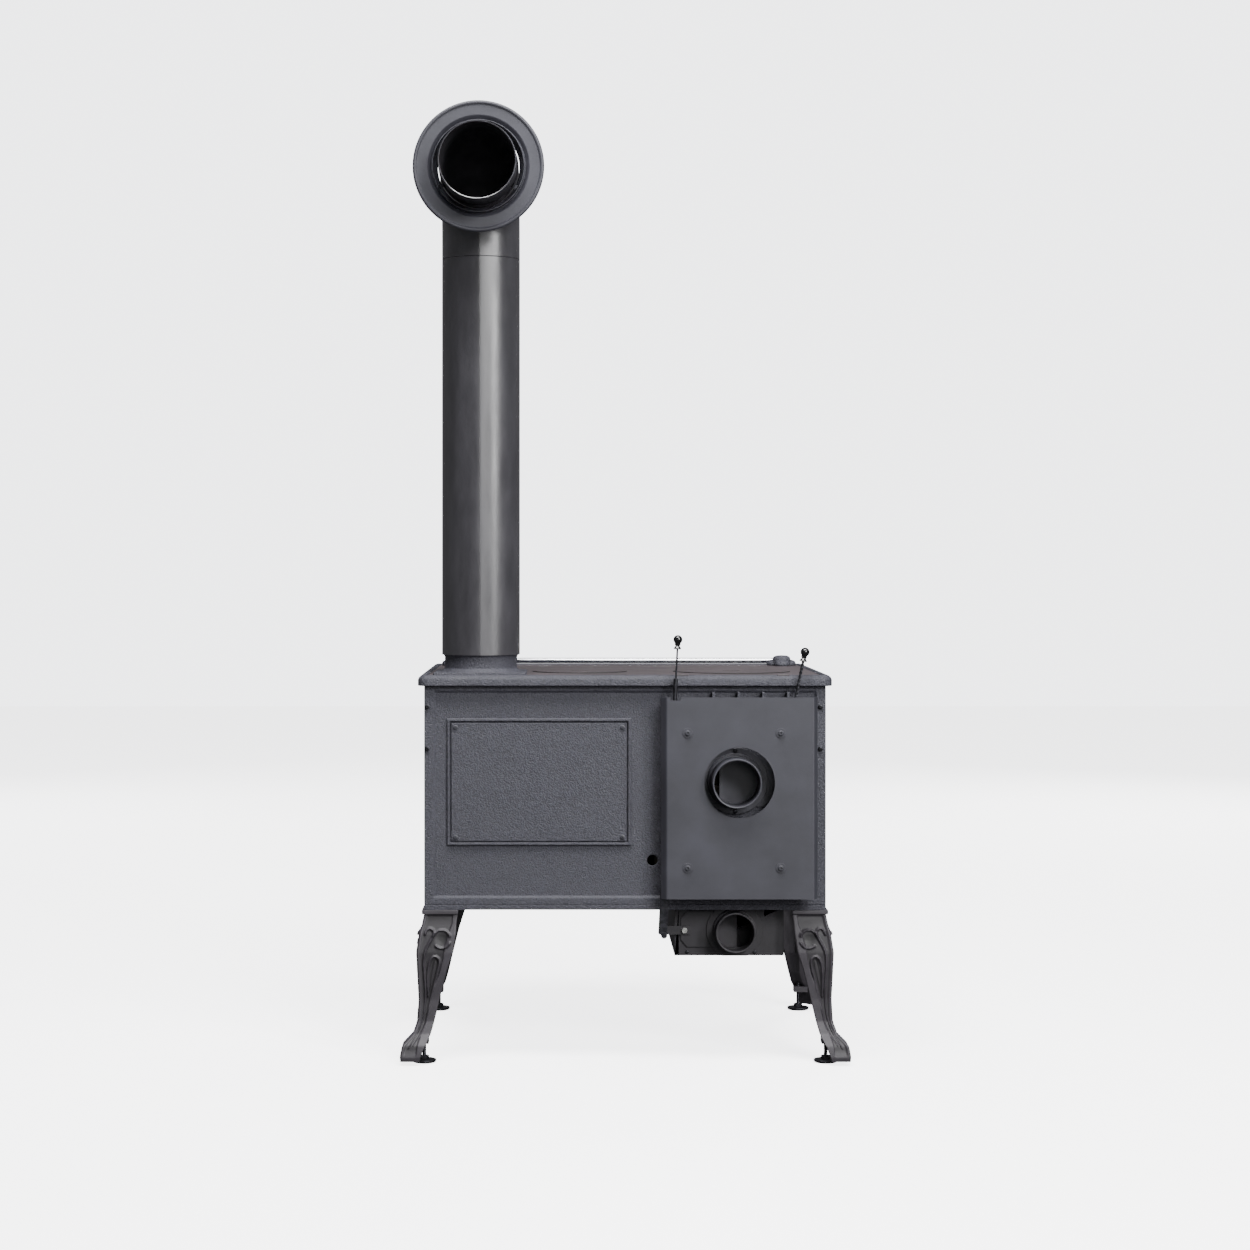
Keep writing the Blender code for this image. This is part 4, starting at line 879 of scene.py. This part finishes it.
class STOVE_OT_air_levers(bpy.types.Operator):
    """Hang the two air levers with their flat bars, rods and ball knobs"""
    bl_idname = "stove.air_levers"
    bl_label = "Air levers"

    def execute(self, context):
        self.lever("lower_air_lever", "lower_lever_knob", (-0.0898, 0.600), math.atan2(0.029, 0.558),
                   0.351,
                   0.0085, 0.0023, 0.197, 0.740)
        self.lever("upper_air_lever", "upper_lever_knob", (-0.3184, 0.660), math.atan2(0.0266, 0.131),
                   0.128,
                   0.0070, 0.0030, 0.1154, 0.690)
        return {"FINISHED"}

    def lever(self, node, knob, pivot, tilt, reach, half_width, rod, knob_base, sleeve_end):
        x, z = pivot
        bm = bmesh.new()
        outline = fillet([(x - half_width, z - 0.05), (x - half_width, z + 0.010), (x, z + 0.0104),
                          (x + half_width, z + 0.010), (x + half_width, z - reach),
                          (x, z - reach - 0.0002),
                          (x - half_width, z - reach), (x - half_width, z - 0.05)], 0.006, 6)
        skin(bm, [[(a, y, b) for a, b in outline[:-1]] for y in (LEVER_Y - 0.003, LEVER_Y)])
        leaning(bm, pivot, tilt)
        boss = turned(fillet([(0, 0.2846), (0.008, 0.2846), (0.008, LEVER_Y + 0.003),
                              (0, LEVER_Y + 0.003)],
                             0.0006), (x, 0, z), "Y", 48)
        bm = carve(bm, boss, "UNION")
        base = z + knob_base
        twist = node.startswith("upper")
        stem = turned(fillet([(0, z - 0.002), (0.0040, z - 0.002), (0.0040, sleeve_end),
                              (rod * 0.8, sleeve_end + 0.001), (rod * 0.8, base + 0.010),
                              (0, base + 0.010)],
                             0.0004), (x, LEVER_Y, 0), "Z", 40)
        bm = carve(bm, leaning(stem, pivot, tilt), "UNION")
        rod_bm = bmesh.new()
        self.rod(rod_bm, x, sleeve_end - 0.001, base + 0.004, rod, twist)
        append_mesh(bm, leaning(rod_bm, pivot, tilt))
        if not twist:
            low_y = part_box("link_strip")[1].y - HOME.y + 0.0003
            stud = turned(fillet([(0, low_y), (0.0060, low_y), (0.0060, LEVER_Y + 0.002),
                                  (0, LEVER_Y + 0.002)],
                                 0.0005), (-0.0745, 0, 0.247), "Y", 40)
            bm = carve(bm, stud, "UNION")
        piece_from(node + "_forging", bm, "dark", node=node, bevel=0.0003, angle=40)
        ball = [(0.0087 * math.cos(math.radians(a)),
                 base + KNOB_HEIGHT - 0.0087 + 0.0087 * math.sin(math.radians(a)))
                for a in range(-50, 90, 7)]
        profile = [(rod + 0.0003, base + 0.0105), (rod + 0.0003, base)]
        profile += fillet([(0.0050, base), (0.0073, base), (0.0070, base + 0.0020),
                           (0.0052, base + 0.0045),
                           (0.0040, base + 0.0065), (0.0055, base + 0.0080), (0.0055, base + 0.0095)],
                          0.0008)
        profile += ball + [(0, base + KNOB_HEIGHT)]
        bm = turned([(0, base + 0.0105)] + profile, (x, LEVER_Y, 0), "Z", 64)
        piece_from(knob + "_ball", leaning(bm, pivot, tilt), "knob", node=knob, angle=45)

    def rod(self, bm, x, start, end, radius, twist):
        """A plain round rod, or a square one twisted along its length with rounded arrises."""
        rings = []
        count = 90 if twist else 4
        for i in range(count + 1):
            z = start + (end - start) * i / count
            ring = []
            for k in range(24):
                t = math.tau * k / 24
                r = radius
                if twist:
                    r = radius * (0.86 + 0.14 * math.cos(4 * t))
                    t += (z - start) / 0.032 * math.tau
                ring.append((x + r * math.cos(t), LEVER_Y + r * math.sin(t), z))
            rings.append(ring)
        skin(bm, rings)


# Legs -------------------------------------------------------------------------------------------
LEG_LEVELS = [(0.2927, 0.0045, 0.0700, 0.012, 0.016), (0.2852, 0.0045, 0.0700, 0.012, 0.016),
              (0.2842, 0.0005, 0.0650, 0.010, 0.014), (0.2650, 0.0045, 0.0670, 0.010, 0.014),
              (0.2470, 0.0095, 0.0710, 0.010, 0.014), (0.2120, 0.0145, 0.0700, 0.010, 0.015),
              (0.1760, 0.0130, 0.0570, 0.011, 0.017), (0.1220, 0.0105, 0.0410, 0.012, 0.019),
              (0.0800, 0.0125, 0.0330, 0.013, 0.020), (0.0570, 0.0210, 0.0350, 0.014, 0.021),
              (0.0380, 0.0405, 0.0445, 0.016, 0.025), (0.0260, 0.0430, 0.0420, 0.017, 0.026),
              (0.0160, 0.0445, 0.0400, 0.017, 0.026), (0.0080, 0.0435, 0.0370, 0.016, 0.025)]
# The relief of one flank, as (distance in from the body's corner, height) in millimetres.
BAND_STEP = [(55.7, 285), (55.7, 278.6), (54.6, 266), (49.5, 252.8), (47.4, 245.6), (40.2, 220.8),
             (39.2, 212.6),
             (37.1, 198), (30.9, 173.4), (20.6, 144.5), (14.4, 119.8), (8.2, 95), (3.1, 72.4),
             (-5.2, 53.8),
             (-10.3, 39.4), (-14, 8)]
LONG_FLUTE = [(2.1, 247.2), (4.1, 252.8), (8.2, 257), (14.4, 257), (19, 251.8), (18.1, 244.5),
              (12.4, 234.2),
              (6.2, 223), (1.6, 208.5), (0, 190), (1.2, 167.2), (2.9, 144.5), (2.5, 119.8), (0, 95),
              (-5.2, 74.5),
              (-12.4, 58), (-20.6, 43.5), (-27.8, 33.2)]
LANCET_RIDGE = [(8.7, 128), (7.2, 156.9), (8.2, 177.5), (10.7, 192), (14.8, 201.2), (20.6, 205.4),
                (27.8, 201.2),
                (30.1, 194), (28, 179.6), (22.7, 159), (16.5, 136.3), (11.3, 115.7), (7.2, 95),
                (1.6, 72.4),
                (-8.2, 52.8), (-18.6, 38.4)]
LANCET_GROOVE = [(10.3, 132.2), (12.8, 165.2), (16.5, 185.8), (20.6, 198.1), (24.3, 197.1),
                 (24.7, 187.8),
                 (20.6, 169.3), (15.5, 148.7), (10.9, 128)]
SCROLL_CENTRE, SCROLL_R = (34, 238), 17


def smooth_line(points, steps=6):
    """A line through the points as a Catmull-Rom curve."""
    line = np.array(points, dtype=float)
    padded = np.vstack([2 * line[0] - line[1], line, 2 * line[-1] - line[-2]])
    out = []
    for i in range(1, len(padded) - 2):
        a, b, c, d = padded[i - 1:i + 3]
        for t in np.arange(steps) / steps:
            out.append(0.5 * (2 * b + (c - a) * t + (2 * a - 5 * b + 4 * c - d) * t ** 2
                              + (3 * b - a - 3 * c + d) * t ** 3))
    out.append(line[-1])
    return np.array(out)


def distance_to(line, a, z):
    """Distance of each point from a line of short segments."""
    nearest = np.full(a.shape, 1e9)
    for (a0, z0), (a1, z1) in zip(line[:-1], line[1:]):
        da, dz = a1 - a0, z1 - z0
        t = np.clip(((a - a0) * da + (z - z0) * dz) / max(da * da + dz * dz, 1e-12), 0, 1)
        nearest = np.minimum(nearest, np.hypot(a - a0 - t * da, z - z0 - t * dz))
    return nearest


def ridge(distance, half_width):
    """1 on the line, falling smoothly to 0 at half_width."""
    return np.clip(1 - (distance / half_width) ** 2, 0, 1) ** 1.5


def ease(value):
    value = np.clip(value, 0, 1)
    return value * value * (3 - 2 * value)


def leg_relief(a, z):
    """Height in millimetres of the cast ornament on a leg's flank."""
    step = np.array(BAND_STEP)
    order = np.argsort(step[:, 1])
    band = np.interp(z, step[order, 1], step[order, 0])
    relief = -2.0 * ease((band - a) / 1.3)
    narrow = np.interp(z, [30, 90, 150, 250], [0.45, 0.6, 0.85, 1.0])
    for line in (LONG_FLUTE, LANCET_RIDGE):
        relief += 3.2 * narrow * ridge(distance_to(smooth_line(line), a, z), 3.0 * narrow)
    relief -= 1.0 * ridge(distance_to(smooth_line(LANCET_GROOVE), a, z), 2.0)
    centre_a, centre_z = SCROLL_CENTRE
    for start, end in ((20, 160), (205, 310)):
        turns = np.radians(np.linspace(start, end, 40))
        arc = np.column_stack([centre_a - SCROLL_R * np.cos(turns), centre_z + SCROLL_R * np.sin(turns)])
        relief += 3.2 * ridge(distance_to(arc, a, z), 2.8)
    inside = np.hypot(a - centre_a, z - centre_z) / SCROLL_R
    relief -= 1.4 * ease((0.95 - inside) / 0.8)
    return relief * ease((z - 14) / 16) * ease((283.5 - z) / 3)


class STOVE_OT_legs(bpy.types.Operator):
    """Cast the four cabriole legs with their scrolls, lancets and flutes"""
    bl_idname = "stove.legs"
    bl_label = "Legs"

    def execute(self, context):
        sizes = context.scene.stove_sizes
        for corner, (side_x, side_y) in CORNERS.items():
            self.leg(corner, side_x, side_y, sizes.leg_relief / (2.6 * MM))
        return {"FINISHED"}

    def levels(self):
        """Sections of the leg every 1.6 mm, eased through the listed ones below the top pad."""
        table = np.array(LEG_LEVELS)
        lower = table[2:][::-1]
        heights = np.concatenate([np.arange(0.008, 0.2842, 0.0016), [0.2842]])
        columns = [np.interp(heights, lower[:, 0], lower[:, k]) for k in range(1, 5)]
        kernel = np.exp(-np.linspace(-1.6, 1.6, 5) ** 2)
        smooth = []
        for values in columns:
            ends = np.concatenate([np.full(2, values[0]), values, np.full(2, values[-1])])
            smooth.append(np.convolve(ends, kernel / kernel.sum(), mode="valid"))
        rows = list(zip(heights, *smooth))
        rows += [(0.2847, 0.0035, 0.0690, 0.012, 0.016), (0.2852, 0.0043, 0.0698, 0.012, 0.016),
                 (0.2860, 0.0045, 0.0700, 0.012, 0.016), (0.2919, 0.0045, 0.0700, 0.012, 0.016),
                 (0.2927, 0.0038, 0.0693, 0.012, 0.016)]
        return rows

    def leg(self, corner, side_x, side_y, strength):
        columns = 46
        nose = 0.004
        rings, hollow_shades = [], []
        for z, outset, width, thick, heel in self.levels():
            a = np.linspace(nose, width, columns)
            relief = leg_relief((a - outset) * 1000, np.full(columns, z * 1000)) * 0.001 * strength
            relief *= ease((a - nose) / 0.005)
            # How far the relief sinks in, stored on the mesh so that the paint is darkened there as painted
            # shade.
            hollow_shade = np.clip(-relief / (3.2 * MM * strength), 0, 1)
            fall = np.clip((a - (width - 0.0016)) / 0.0016, 0, 1)
            relief -= 0.0016 * (1 - np.sqrt(1 - fall ** 2 * 0.99))
            flank = [(p, -h) for p, h in zip(a, relief)]
            corner_arc = [(nose - nose * math.sin(t), nose - nose * math.cos(t))
                          for t in (math.radians(15 * i) for i in range(1, 6))]
            outline = flank + [(width - 0.001, thick * 0.8), (width - 0.003, thick), (heel, heel),
                               (thick, width - 0.003), (thick * 0.8, width - 0.001)]
            outline += [(b, p) for p, b in reversed(flank)] + list(reversed(corner_arc))
            rings.append([(side_x * (BODY_X + outset - p), side_y * (BODY_Y + outset - b), z)
                          for p, b in outline])
            plain = len(outline) - 2 * len(flank) - len(corner_arc)
            hollow_shades += [*hollow_shade, *[0.0] * plain, *reversed(hollow_shade), *[0.0] * len(corner_arc)]
        bm = skinned(rings)
        layer = bm.verts.layers.float.new("hollow_shade")
        for vert, value in zip(bm.verts, hollow_shades):
            vert[layer] = value
        screw_x, screw_y = side_x * FOOT_X, side_y * FOOT_Y
        lug_x = sorted((screw_x - side_x * 0.009, screw_x + side_x * 0.020))
        lug_y = sorted((screw_y - side_y * 0.009, screw_y + side_y * 0.020))
        add_box(bm, (lug_x[0], lug_y[0], 0.038), (lug_x[1], lug_y[1], 0.050))
        piece_from("leg_casting_" + corner, bm, "leg", node="leg_" + corner, angle=50)


class STOVE_OT_levelling_feet(bpy.types.Operator):
    """Screw the round levelling feet into the legs"""
    bl_idname = "stove.levelling_feet"
    bl_label = "Levelling feet"

    def execute(self, context):
        for corner, (side_x, side_y) in CORNERS.items():
            x, y = side_x * FOOT_X, side_y * FOOT_Y
            profile = fillet([(0, 0), (0.0205, 0), (0.0230, 0.002), (0.0230, 0.0055), (0.0080, 0.0070)],
                             0.0012)
            profile += [(0.0040, 0.0070)]
            pitch = 0.0025
            z = 0.0130
            while z < 0.0580:
                profile += [(0.0040, z), (0.0033, z + pitch / 2)]
                z += pitch
            profile += [(0.0036, 0.0595), (0, 0.0600)]
            bm = turned(profile, (x, y, 0), "Z", 48)
            add_turned(bm, [(0.0038, 0.0071), (0.0092, 0.0071), (0.0092, 0.0128), (0.0038, 0.0128)],
                       (x, y, 0),
                       "Z", 6)
            piece_from("levelling_pad_" + corner, bm, "dark", node="levelling_foot_" + corner, angle=40)
        return {"FINISHED"}


# Doors, firebox, oven, drawer -------------------------------------------------------------------
DOOR_FRONT_Y = -0.3003


class STOVE_OT_doors(bpy.types.Operator):
    """Hang the firebox door with its glass and the oven door, with raised mouldings and handles"""
    bl_idname = "stove.doors"
    bl_label = "Doors and handles"

    def execute(self, context):
        edge = context.scene.stove_sizes.cast_edge
        refined("firebox_door", "firebox_door_casting", "cast", edge * 0.35)
        refined("oven_door", "oven_door_casting", "cast", edge * 0.35)
        refined("firebox_glass", "firebox_pane", "glass", 0.0004)
        for name, body, low, high, width in (
                ("firebox_door_moulding", "firebox_door", (-0.348, 0.392), (-0.096, 0.658), 0.010),
                ("firebox_window_bead", "firebox_door", (-0.313, 0.437), (-0.117, 0.613), 0.006),
                ("oven_door_moulding", "oven_door", (-0.010, 0.367), (0.338, 0.658), 0.010),
                ("oven_door_panel_bead", "oven_door", (0.020, 0.397), (0.308, 0.628), 0.005)):
            bm = bmesh.new()
            ring_bead(bm, low, high, width, -DOOR_FRONT_Y - 0.0004, -DOOR_FRONT_Y + 0.0028, 0.0014)
            bmesh.ops.scale(bm, vec=(1, -1, 1), verts=bm.verts)
            piece_from(name, bm, "cast", body=body)
        for node, x in (("firebox_handle", -0.082), ("oven_handle", -0.026)):
            self.handle(node, x, 0.535)
        return {"FINISHED"}

    def handle(self, node, x, z):
        front = DOOR_FRONT_Y - GAP
        bm = turned(fillet([(0, front - 0.024), (0.0085, front - 0.024), (0.011, front - 0.0205),
                            (0.011, front),
                            (0.006, front), (0.006, DOOR_FRONT_Y + 0.011), (0, DOOR_FRONT_Y + 0.011)],
                           0.002, 5),
                (x, 0, z), "Y", 64)
        grip = bmesh.new()
        profile = [(0.0046, -0.004), (0.0049, -0.020), (0.0054, -0.034), (0.0066, -0.046),
                   (0.0074, -0.056),
                   (0.0078, -0.068), (0.0077, -0.080), (0.0070, -0.089), (0.0055, -0.0945),
                   (0.0030, -0.0967)]
        add_turned(grip, [(0, -0.004)] + profile + [(0, -0.097)], (x, front - 0.014, z), "Z", 64)
        bm = carve(bm, grip, "UNION")
        collar = turned(fillet([(0.0040, -0.0365), (0.0066, -0.0365), (0.0066, -0.0335),
                                (0.0040, -0.0335)],
                               0.0008), (x, front - 0.014, z), "Z", 48)
        append_mesh(bm, collar)
        piece_from(node + "_casting", bm, "chrome", node=node, angle=45)


class STOVE_OT_firebox(bpy.types.Operator):
    """Line the firebox with vermiculite boards and set its grate and baffle"""
    bl_idname = "stove.firebox"
    bl_label = "Firebox"

    def execute(self, context):
        edge = context.scene.stove_sizes.cast_edge
        refined("firebox_liner", "vermiculite_boards", "brick", 0.0008)
        refined("grate", "grate_casting", "soot_and_shade", edge * 0.4)
        refined("baffle_plate", "baffle_board", "soot_and_shade", 0.0006)
        return {"FINISHED"}


class STOVE_OT_oven(bpy.types.Operator):
    """Fold the oven box and weave the rack from round wire"""
    bl_idname = "stove.oven"
    bl_label = "Oven"

    def execute(self, context):
        sizes = context.scene.stove_sizes
        refined("oven_box", "oven_lining", "soot_and_shade", sizes.sheet_edge * 0.6)
        self.rack(sizes)
        return {"FINISHED"}

    def rack(self, sizes):
        low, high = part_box("oven_rack")
        low, high = low - HOME, high - HOME
        thick = sizes.wire_width / 2
        z = (low.z + high.z) / 2
        bm = bmesh.new()
        frame_line = rounded_slab((low.x + high.x) / 2, (low.y + high.y) / 2,
                                  (high.x - low.x) / 2 - thick,
                                  (high.y - low.y) / 2 - thick, 0.012, z, 6)
        self.wire(bm, frame_line, thick, closed=True)
        count = 23
        for number in range(1, count + 1):
            x = low.x + (high.x - low.x) * number / (count + 1)
            self.wire(bm, [(x, low.y + thick, z), (x, high.y - thick, z)], thick * 0.7)
        self.wire(bm, [(low.x + thick, (low.y + high.y) / 2, z - thick * 0.2),
                       (high.x - thick, (low.y + high.y) / 2, z - thick * 0.2)], thick * 0.8)
        piece_from("oven_wire_rack", bm, "chrome", node="oven_rack", angle=60)

    def wire(self, bm, line, radius, closed=False, sides=12):
        line = [Vector(p) for p in line]
        rings = []
        for i, point in enumerate(line):
            before = line[i - 1] if closed or i else line[0]
            after = line[(i + 1) % len(line)] if closed or i + 1 < len(line) else line[-1]
            along = (after - before).normalized()
            side = along.cross(Vector((0, 0, 1))).normalized()
            rings.append([point + side * radius * math.cos(t) + Vector((0, 0, radius * math.sin(t)))
                          for t in (math.tau * k / sides for k in range(sides))])
        skin(bm, rings, closed=closed)


class STOVE_OT_ash_drawer(bpy.types.Operator):
    """Slide the ash drawer into the air box, with its front and turned knob"""
    bl_idname = "stove.ash_drawer"
    bl_label = "Ash drawer"

    def execute(self, context):
        refined("ash_drawer", "ash_drawer_sheet", "box", context.scene.stove_sizes.sheet_edge)
        return {"FINISHED"}


# Towel rail -------------------------------------------------------------------------------------
class STOVE_OT_towel_rail(bpy.types.Operator):
    """Fit the towel rail between its two cast brackets"""
    bl_idname = "stove.towel_rail"
    bl_label = "Towel rail"

    def execute(self, context):
        rail_y, rail_z, end = -0.345, 0.750, 0.346
        bm = turned(fillet([(0, -end), (0.0060, -end), (0.0060, end), (0, end)], 0.0010),
                    (0, rail_y, rail_z),
                "X", 64)
        piece_from("towel_rail_bar", bm, "chrome", node="towel_rail", angle=50)
        base = SURFACE_Z + GAP
        dome = fillet([(0, base), (0.0185, base), (0.0195, base + 0.012), (0.0180, base + 0.018),
                       (0.0120, base + 0.0212), (0, base + 0.0220)], 0.003, 5)
        lobe = fillet([(0, base), (0.0150, base), (0.0160, base + 0.004), (0.0140, base + 0.009),
                       (0.0080, base + 0.0115), (0, base + 0.0120)], 0.003, 5)
        for node, side in (("rail_bracket_left", -1), ("rail_bracket_right", 1)):
            x, y = side * 0.348, -0.247
            bm = turned(dome, (x, y, 0), "Z", 64)
            for angle in (90, 210, 330):
                turn = math.radians(angle)
                part = turned(lobe, (x + 0.018 * math.cos(turn), y + 0.018 * math.sin(turn), 0), "Z", 48)
                bm = carve(bm, part, "UNION")
            arm = bmesh.new()
            half, middle = 0.0045, base + 0.009
            skin(arm, [[(x - half, at, middle - half), (x + half, at, middle - half),
                        (x + half, at, middle + half), (x - half, at, middle + half)]
                       for at in (rail_y - 0.001, y)])
            bm = carve(bm, arm, "UNION")
            boss = turned(fillet([(0, side * 0.348 - 0.009), (0.009, side * 0.348 - 0.009),
                                  (0.009, side * 0.348 + 0.009), (0, side * 0.348 + 0.009)], 0.0015),
                    (0, rail_y, rail_z), "X", 64)
            bm = carve(bm, boss, "UNION")
            bore = bmesh.new()
            inner, outer = sorted((side * (end - 0.020), side * (end + GAP)))
            add_turned(bore, [(0, inner), (0.0063, inner), (0.0063, outer), (0, outer)],
                       (0, rail_y, rail_z), "X", 48)
            bm = carve(bm, bore)
            piece_from(node + "_casting", bm, "cast", node=node, angle=40)
        return {"FINISHED"}


# Studio -----------------------------------------------------------------------------------------
class STOVE_OT_studio(bpy.types.Operator):
    """Lay the pale floor, hang the soft lights and aim the camera at the stove's back"""
    bl_idname = "stove.studio"
    bl_label = "Studio"

    def execute(self, context):
        bm = bmesh.new()
        size = 12.0
        skin(bm, [[(-size, -size, -z), (size, -size, -z), (size, size, -z), (-size, size, -z)]
                  for z in (0.02, 0.0003)])
        mesh = bpy.data.meshes.new("floor")
        bm.to_mesh(mesh)
        bm.free()
        floor = bpy.data.objects.new("floor", mesh)
        context.scene.collection.objects.link(floor)
        floor.data.materials.append(self.floor_paint())
        floor.visible_diffuse = False
        floor.visible_glossy = False
        self.light("key_softbox", (-2.3, 5.2, 3.7), (0.05, 0.25, 0.9), (1.2, 1.4), 310)
        self.light("strip_softbox", (-3.5, 4.1, 2.6), (0.28, 0.16, 1.25), (0.6, 3.2), 200)
        self.light("camera_softbox", (-1.0, 6.6, 1.7), (0.05, 0.25, 0.7), (2.0, 2.0), 70)
        self.light("top_softbox", (0.1, 1.5, 4.3), (0.05, 0.2, 0.7), (3.0, 1.2), 380)
        self.light("front_left_softbox", (-3.0, -5.2, 2.8), (0.0, 0.0, 0.7), (2.2, 2.2), 300,
                   glossy=False)
        self.light("front_right_softbox", (3.4, -5.0, 2.6), (0.0, 0.0, 0.7), (2.2, 2.2), 200,
                   glossy=False)
        world = bpy.data.worlds.new("daylight")
        world.use_nodes = True
        tree = world.node_tree
        seen = add_node(tree, "ShaderNodeLightPath").outputs["Is Camera Ray"]
        strength = add_node(tree, "ShaderNodeMapRange", {"To Min": 0.17, "To Max": 4.0}, {"Value": seen})
        tree.nodes["Background"].inputs["Color"].default_value = linear("#FBFCFF")
        tree.links.new(strength.outputs["Result"], tree.nodes["Background"].inputs["Strength"])
        context.scene.world = world
        data = bpy.data.cameras.new("camera")
        data.lens, data.sensor_width = 72.43, 36.0
        data.shift_x, data.shift_y = 0.0484, -0.0475
        data.clip_end = 50
        camera = bpy.data.objects.new("camera", data)
        camera.location = (0.1167, 5.1205, 0.957)
        camera.rotation_euler = (math.radians(90), 0, math.radians(180))
        context.scene.collection.objects.link(camera)
        context.scene.camera = camera
        return {"FINISHED"}

    def floor_paint(self):
        # A concrete floor rolled with matt white paint: hardly visibly uneven.
        material, _, shader, _ = surface("rolled floor paint, matt white", "#F4F4F4", (0.88, 0.92),
                                         patch=(0.8, 0.0), fine=(0.1, 0.0), contrast=0.01,
                                         Emission_Strength=3.6)
        shader.inputs["Emission Color"].default_value = linear("#F8F8FA")
        return material

    def light(self, name, place, target, size, power, glossy=True):
        data = bpy.data.lights.new(name, "AREA")
        data.shape = "RECTANGLE"
        data.size, data.size_y = size
        data.energy = power
        lamp = bpy.data.objects.new(name, data)
        lamp.visible_glossy = glossy
        lamp.location = place
        lamp.rotation_euler = (Vector(target) - Vector(place)).to_track_quat("-Z", "Y").to_euler()
        bpy.context.scene.collection.objects.link(lamp)


# Panel and registration -------------------------------------------------------------------------
STEPS = (STOVE_OT_body_plates, STOVE_OT_cooktop, STOVE_OT_oven_cover, STOVE_OT_flue,
         STOVE_OT_heat_shield,
         STOVE_OT_air_inlets, STOVE_OT_air_levers, STOVE_OT_legs, STOVE_OT_levelling_feet,
         STOVE_OT_doors,
         STOVE_OT_firebox, STOVE_OT_oven, STOVE_OT_ash_drawer, STOVE_OT_towel_rail, STOVE_OT_studio)


class STOVE_PT_parts(bpy.types.Panel):
    """Sizes, colours and pieces of the cook stove"""
    bl_idname = "STOVE_PT_parts"
    bl_label = "Cook Stove"
    bl_space_type = "VIEW_3D"
    bl_region_type = "UI"
    bl_category = "Stove"

    def draw(self, context):
        for group in (context.scene.stove_sizes, context.scene.stove_colours):
            box = self.layout.box()
            for key in group.__annotations__:
                box.prop(group, key)
        for step in STEPS:
            self.layout.operator(step.bl_idname)


def register():
    for group in (StoveSizes, StoveColours):
        bpy.utils.register_class(group)
    bpy.types.Scene.stove_sizes = bpy.props.PointerProperty(type=StoveSizes)
    bpy.types.Scene.stove_colours = bpy.props.PointerProperty(type=StoveColours)
    for kind in STEPS + (STOVE_PT_parts,):
        bpy.utils.register_class(kind)


def unregister():
    for kind in reversed(STEPS + (STOVE_PT_parts,)):
        bpy.utils.unregister_class(kind)
    del bpy.types.Scene.stove_colours
    del bpy.types.Scene.stove_sizes
    for group in (StoveColours, StoveSizes):
        bpy.utils.unregister_class(group)


def main():
    register()
    for step in STEPS:
        area, name = step.bl_idname.split(".")
        getattr(getattr(bpy.ops, area), name)()


if __name__ == "__main__":
    main()
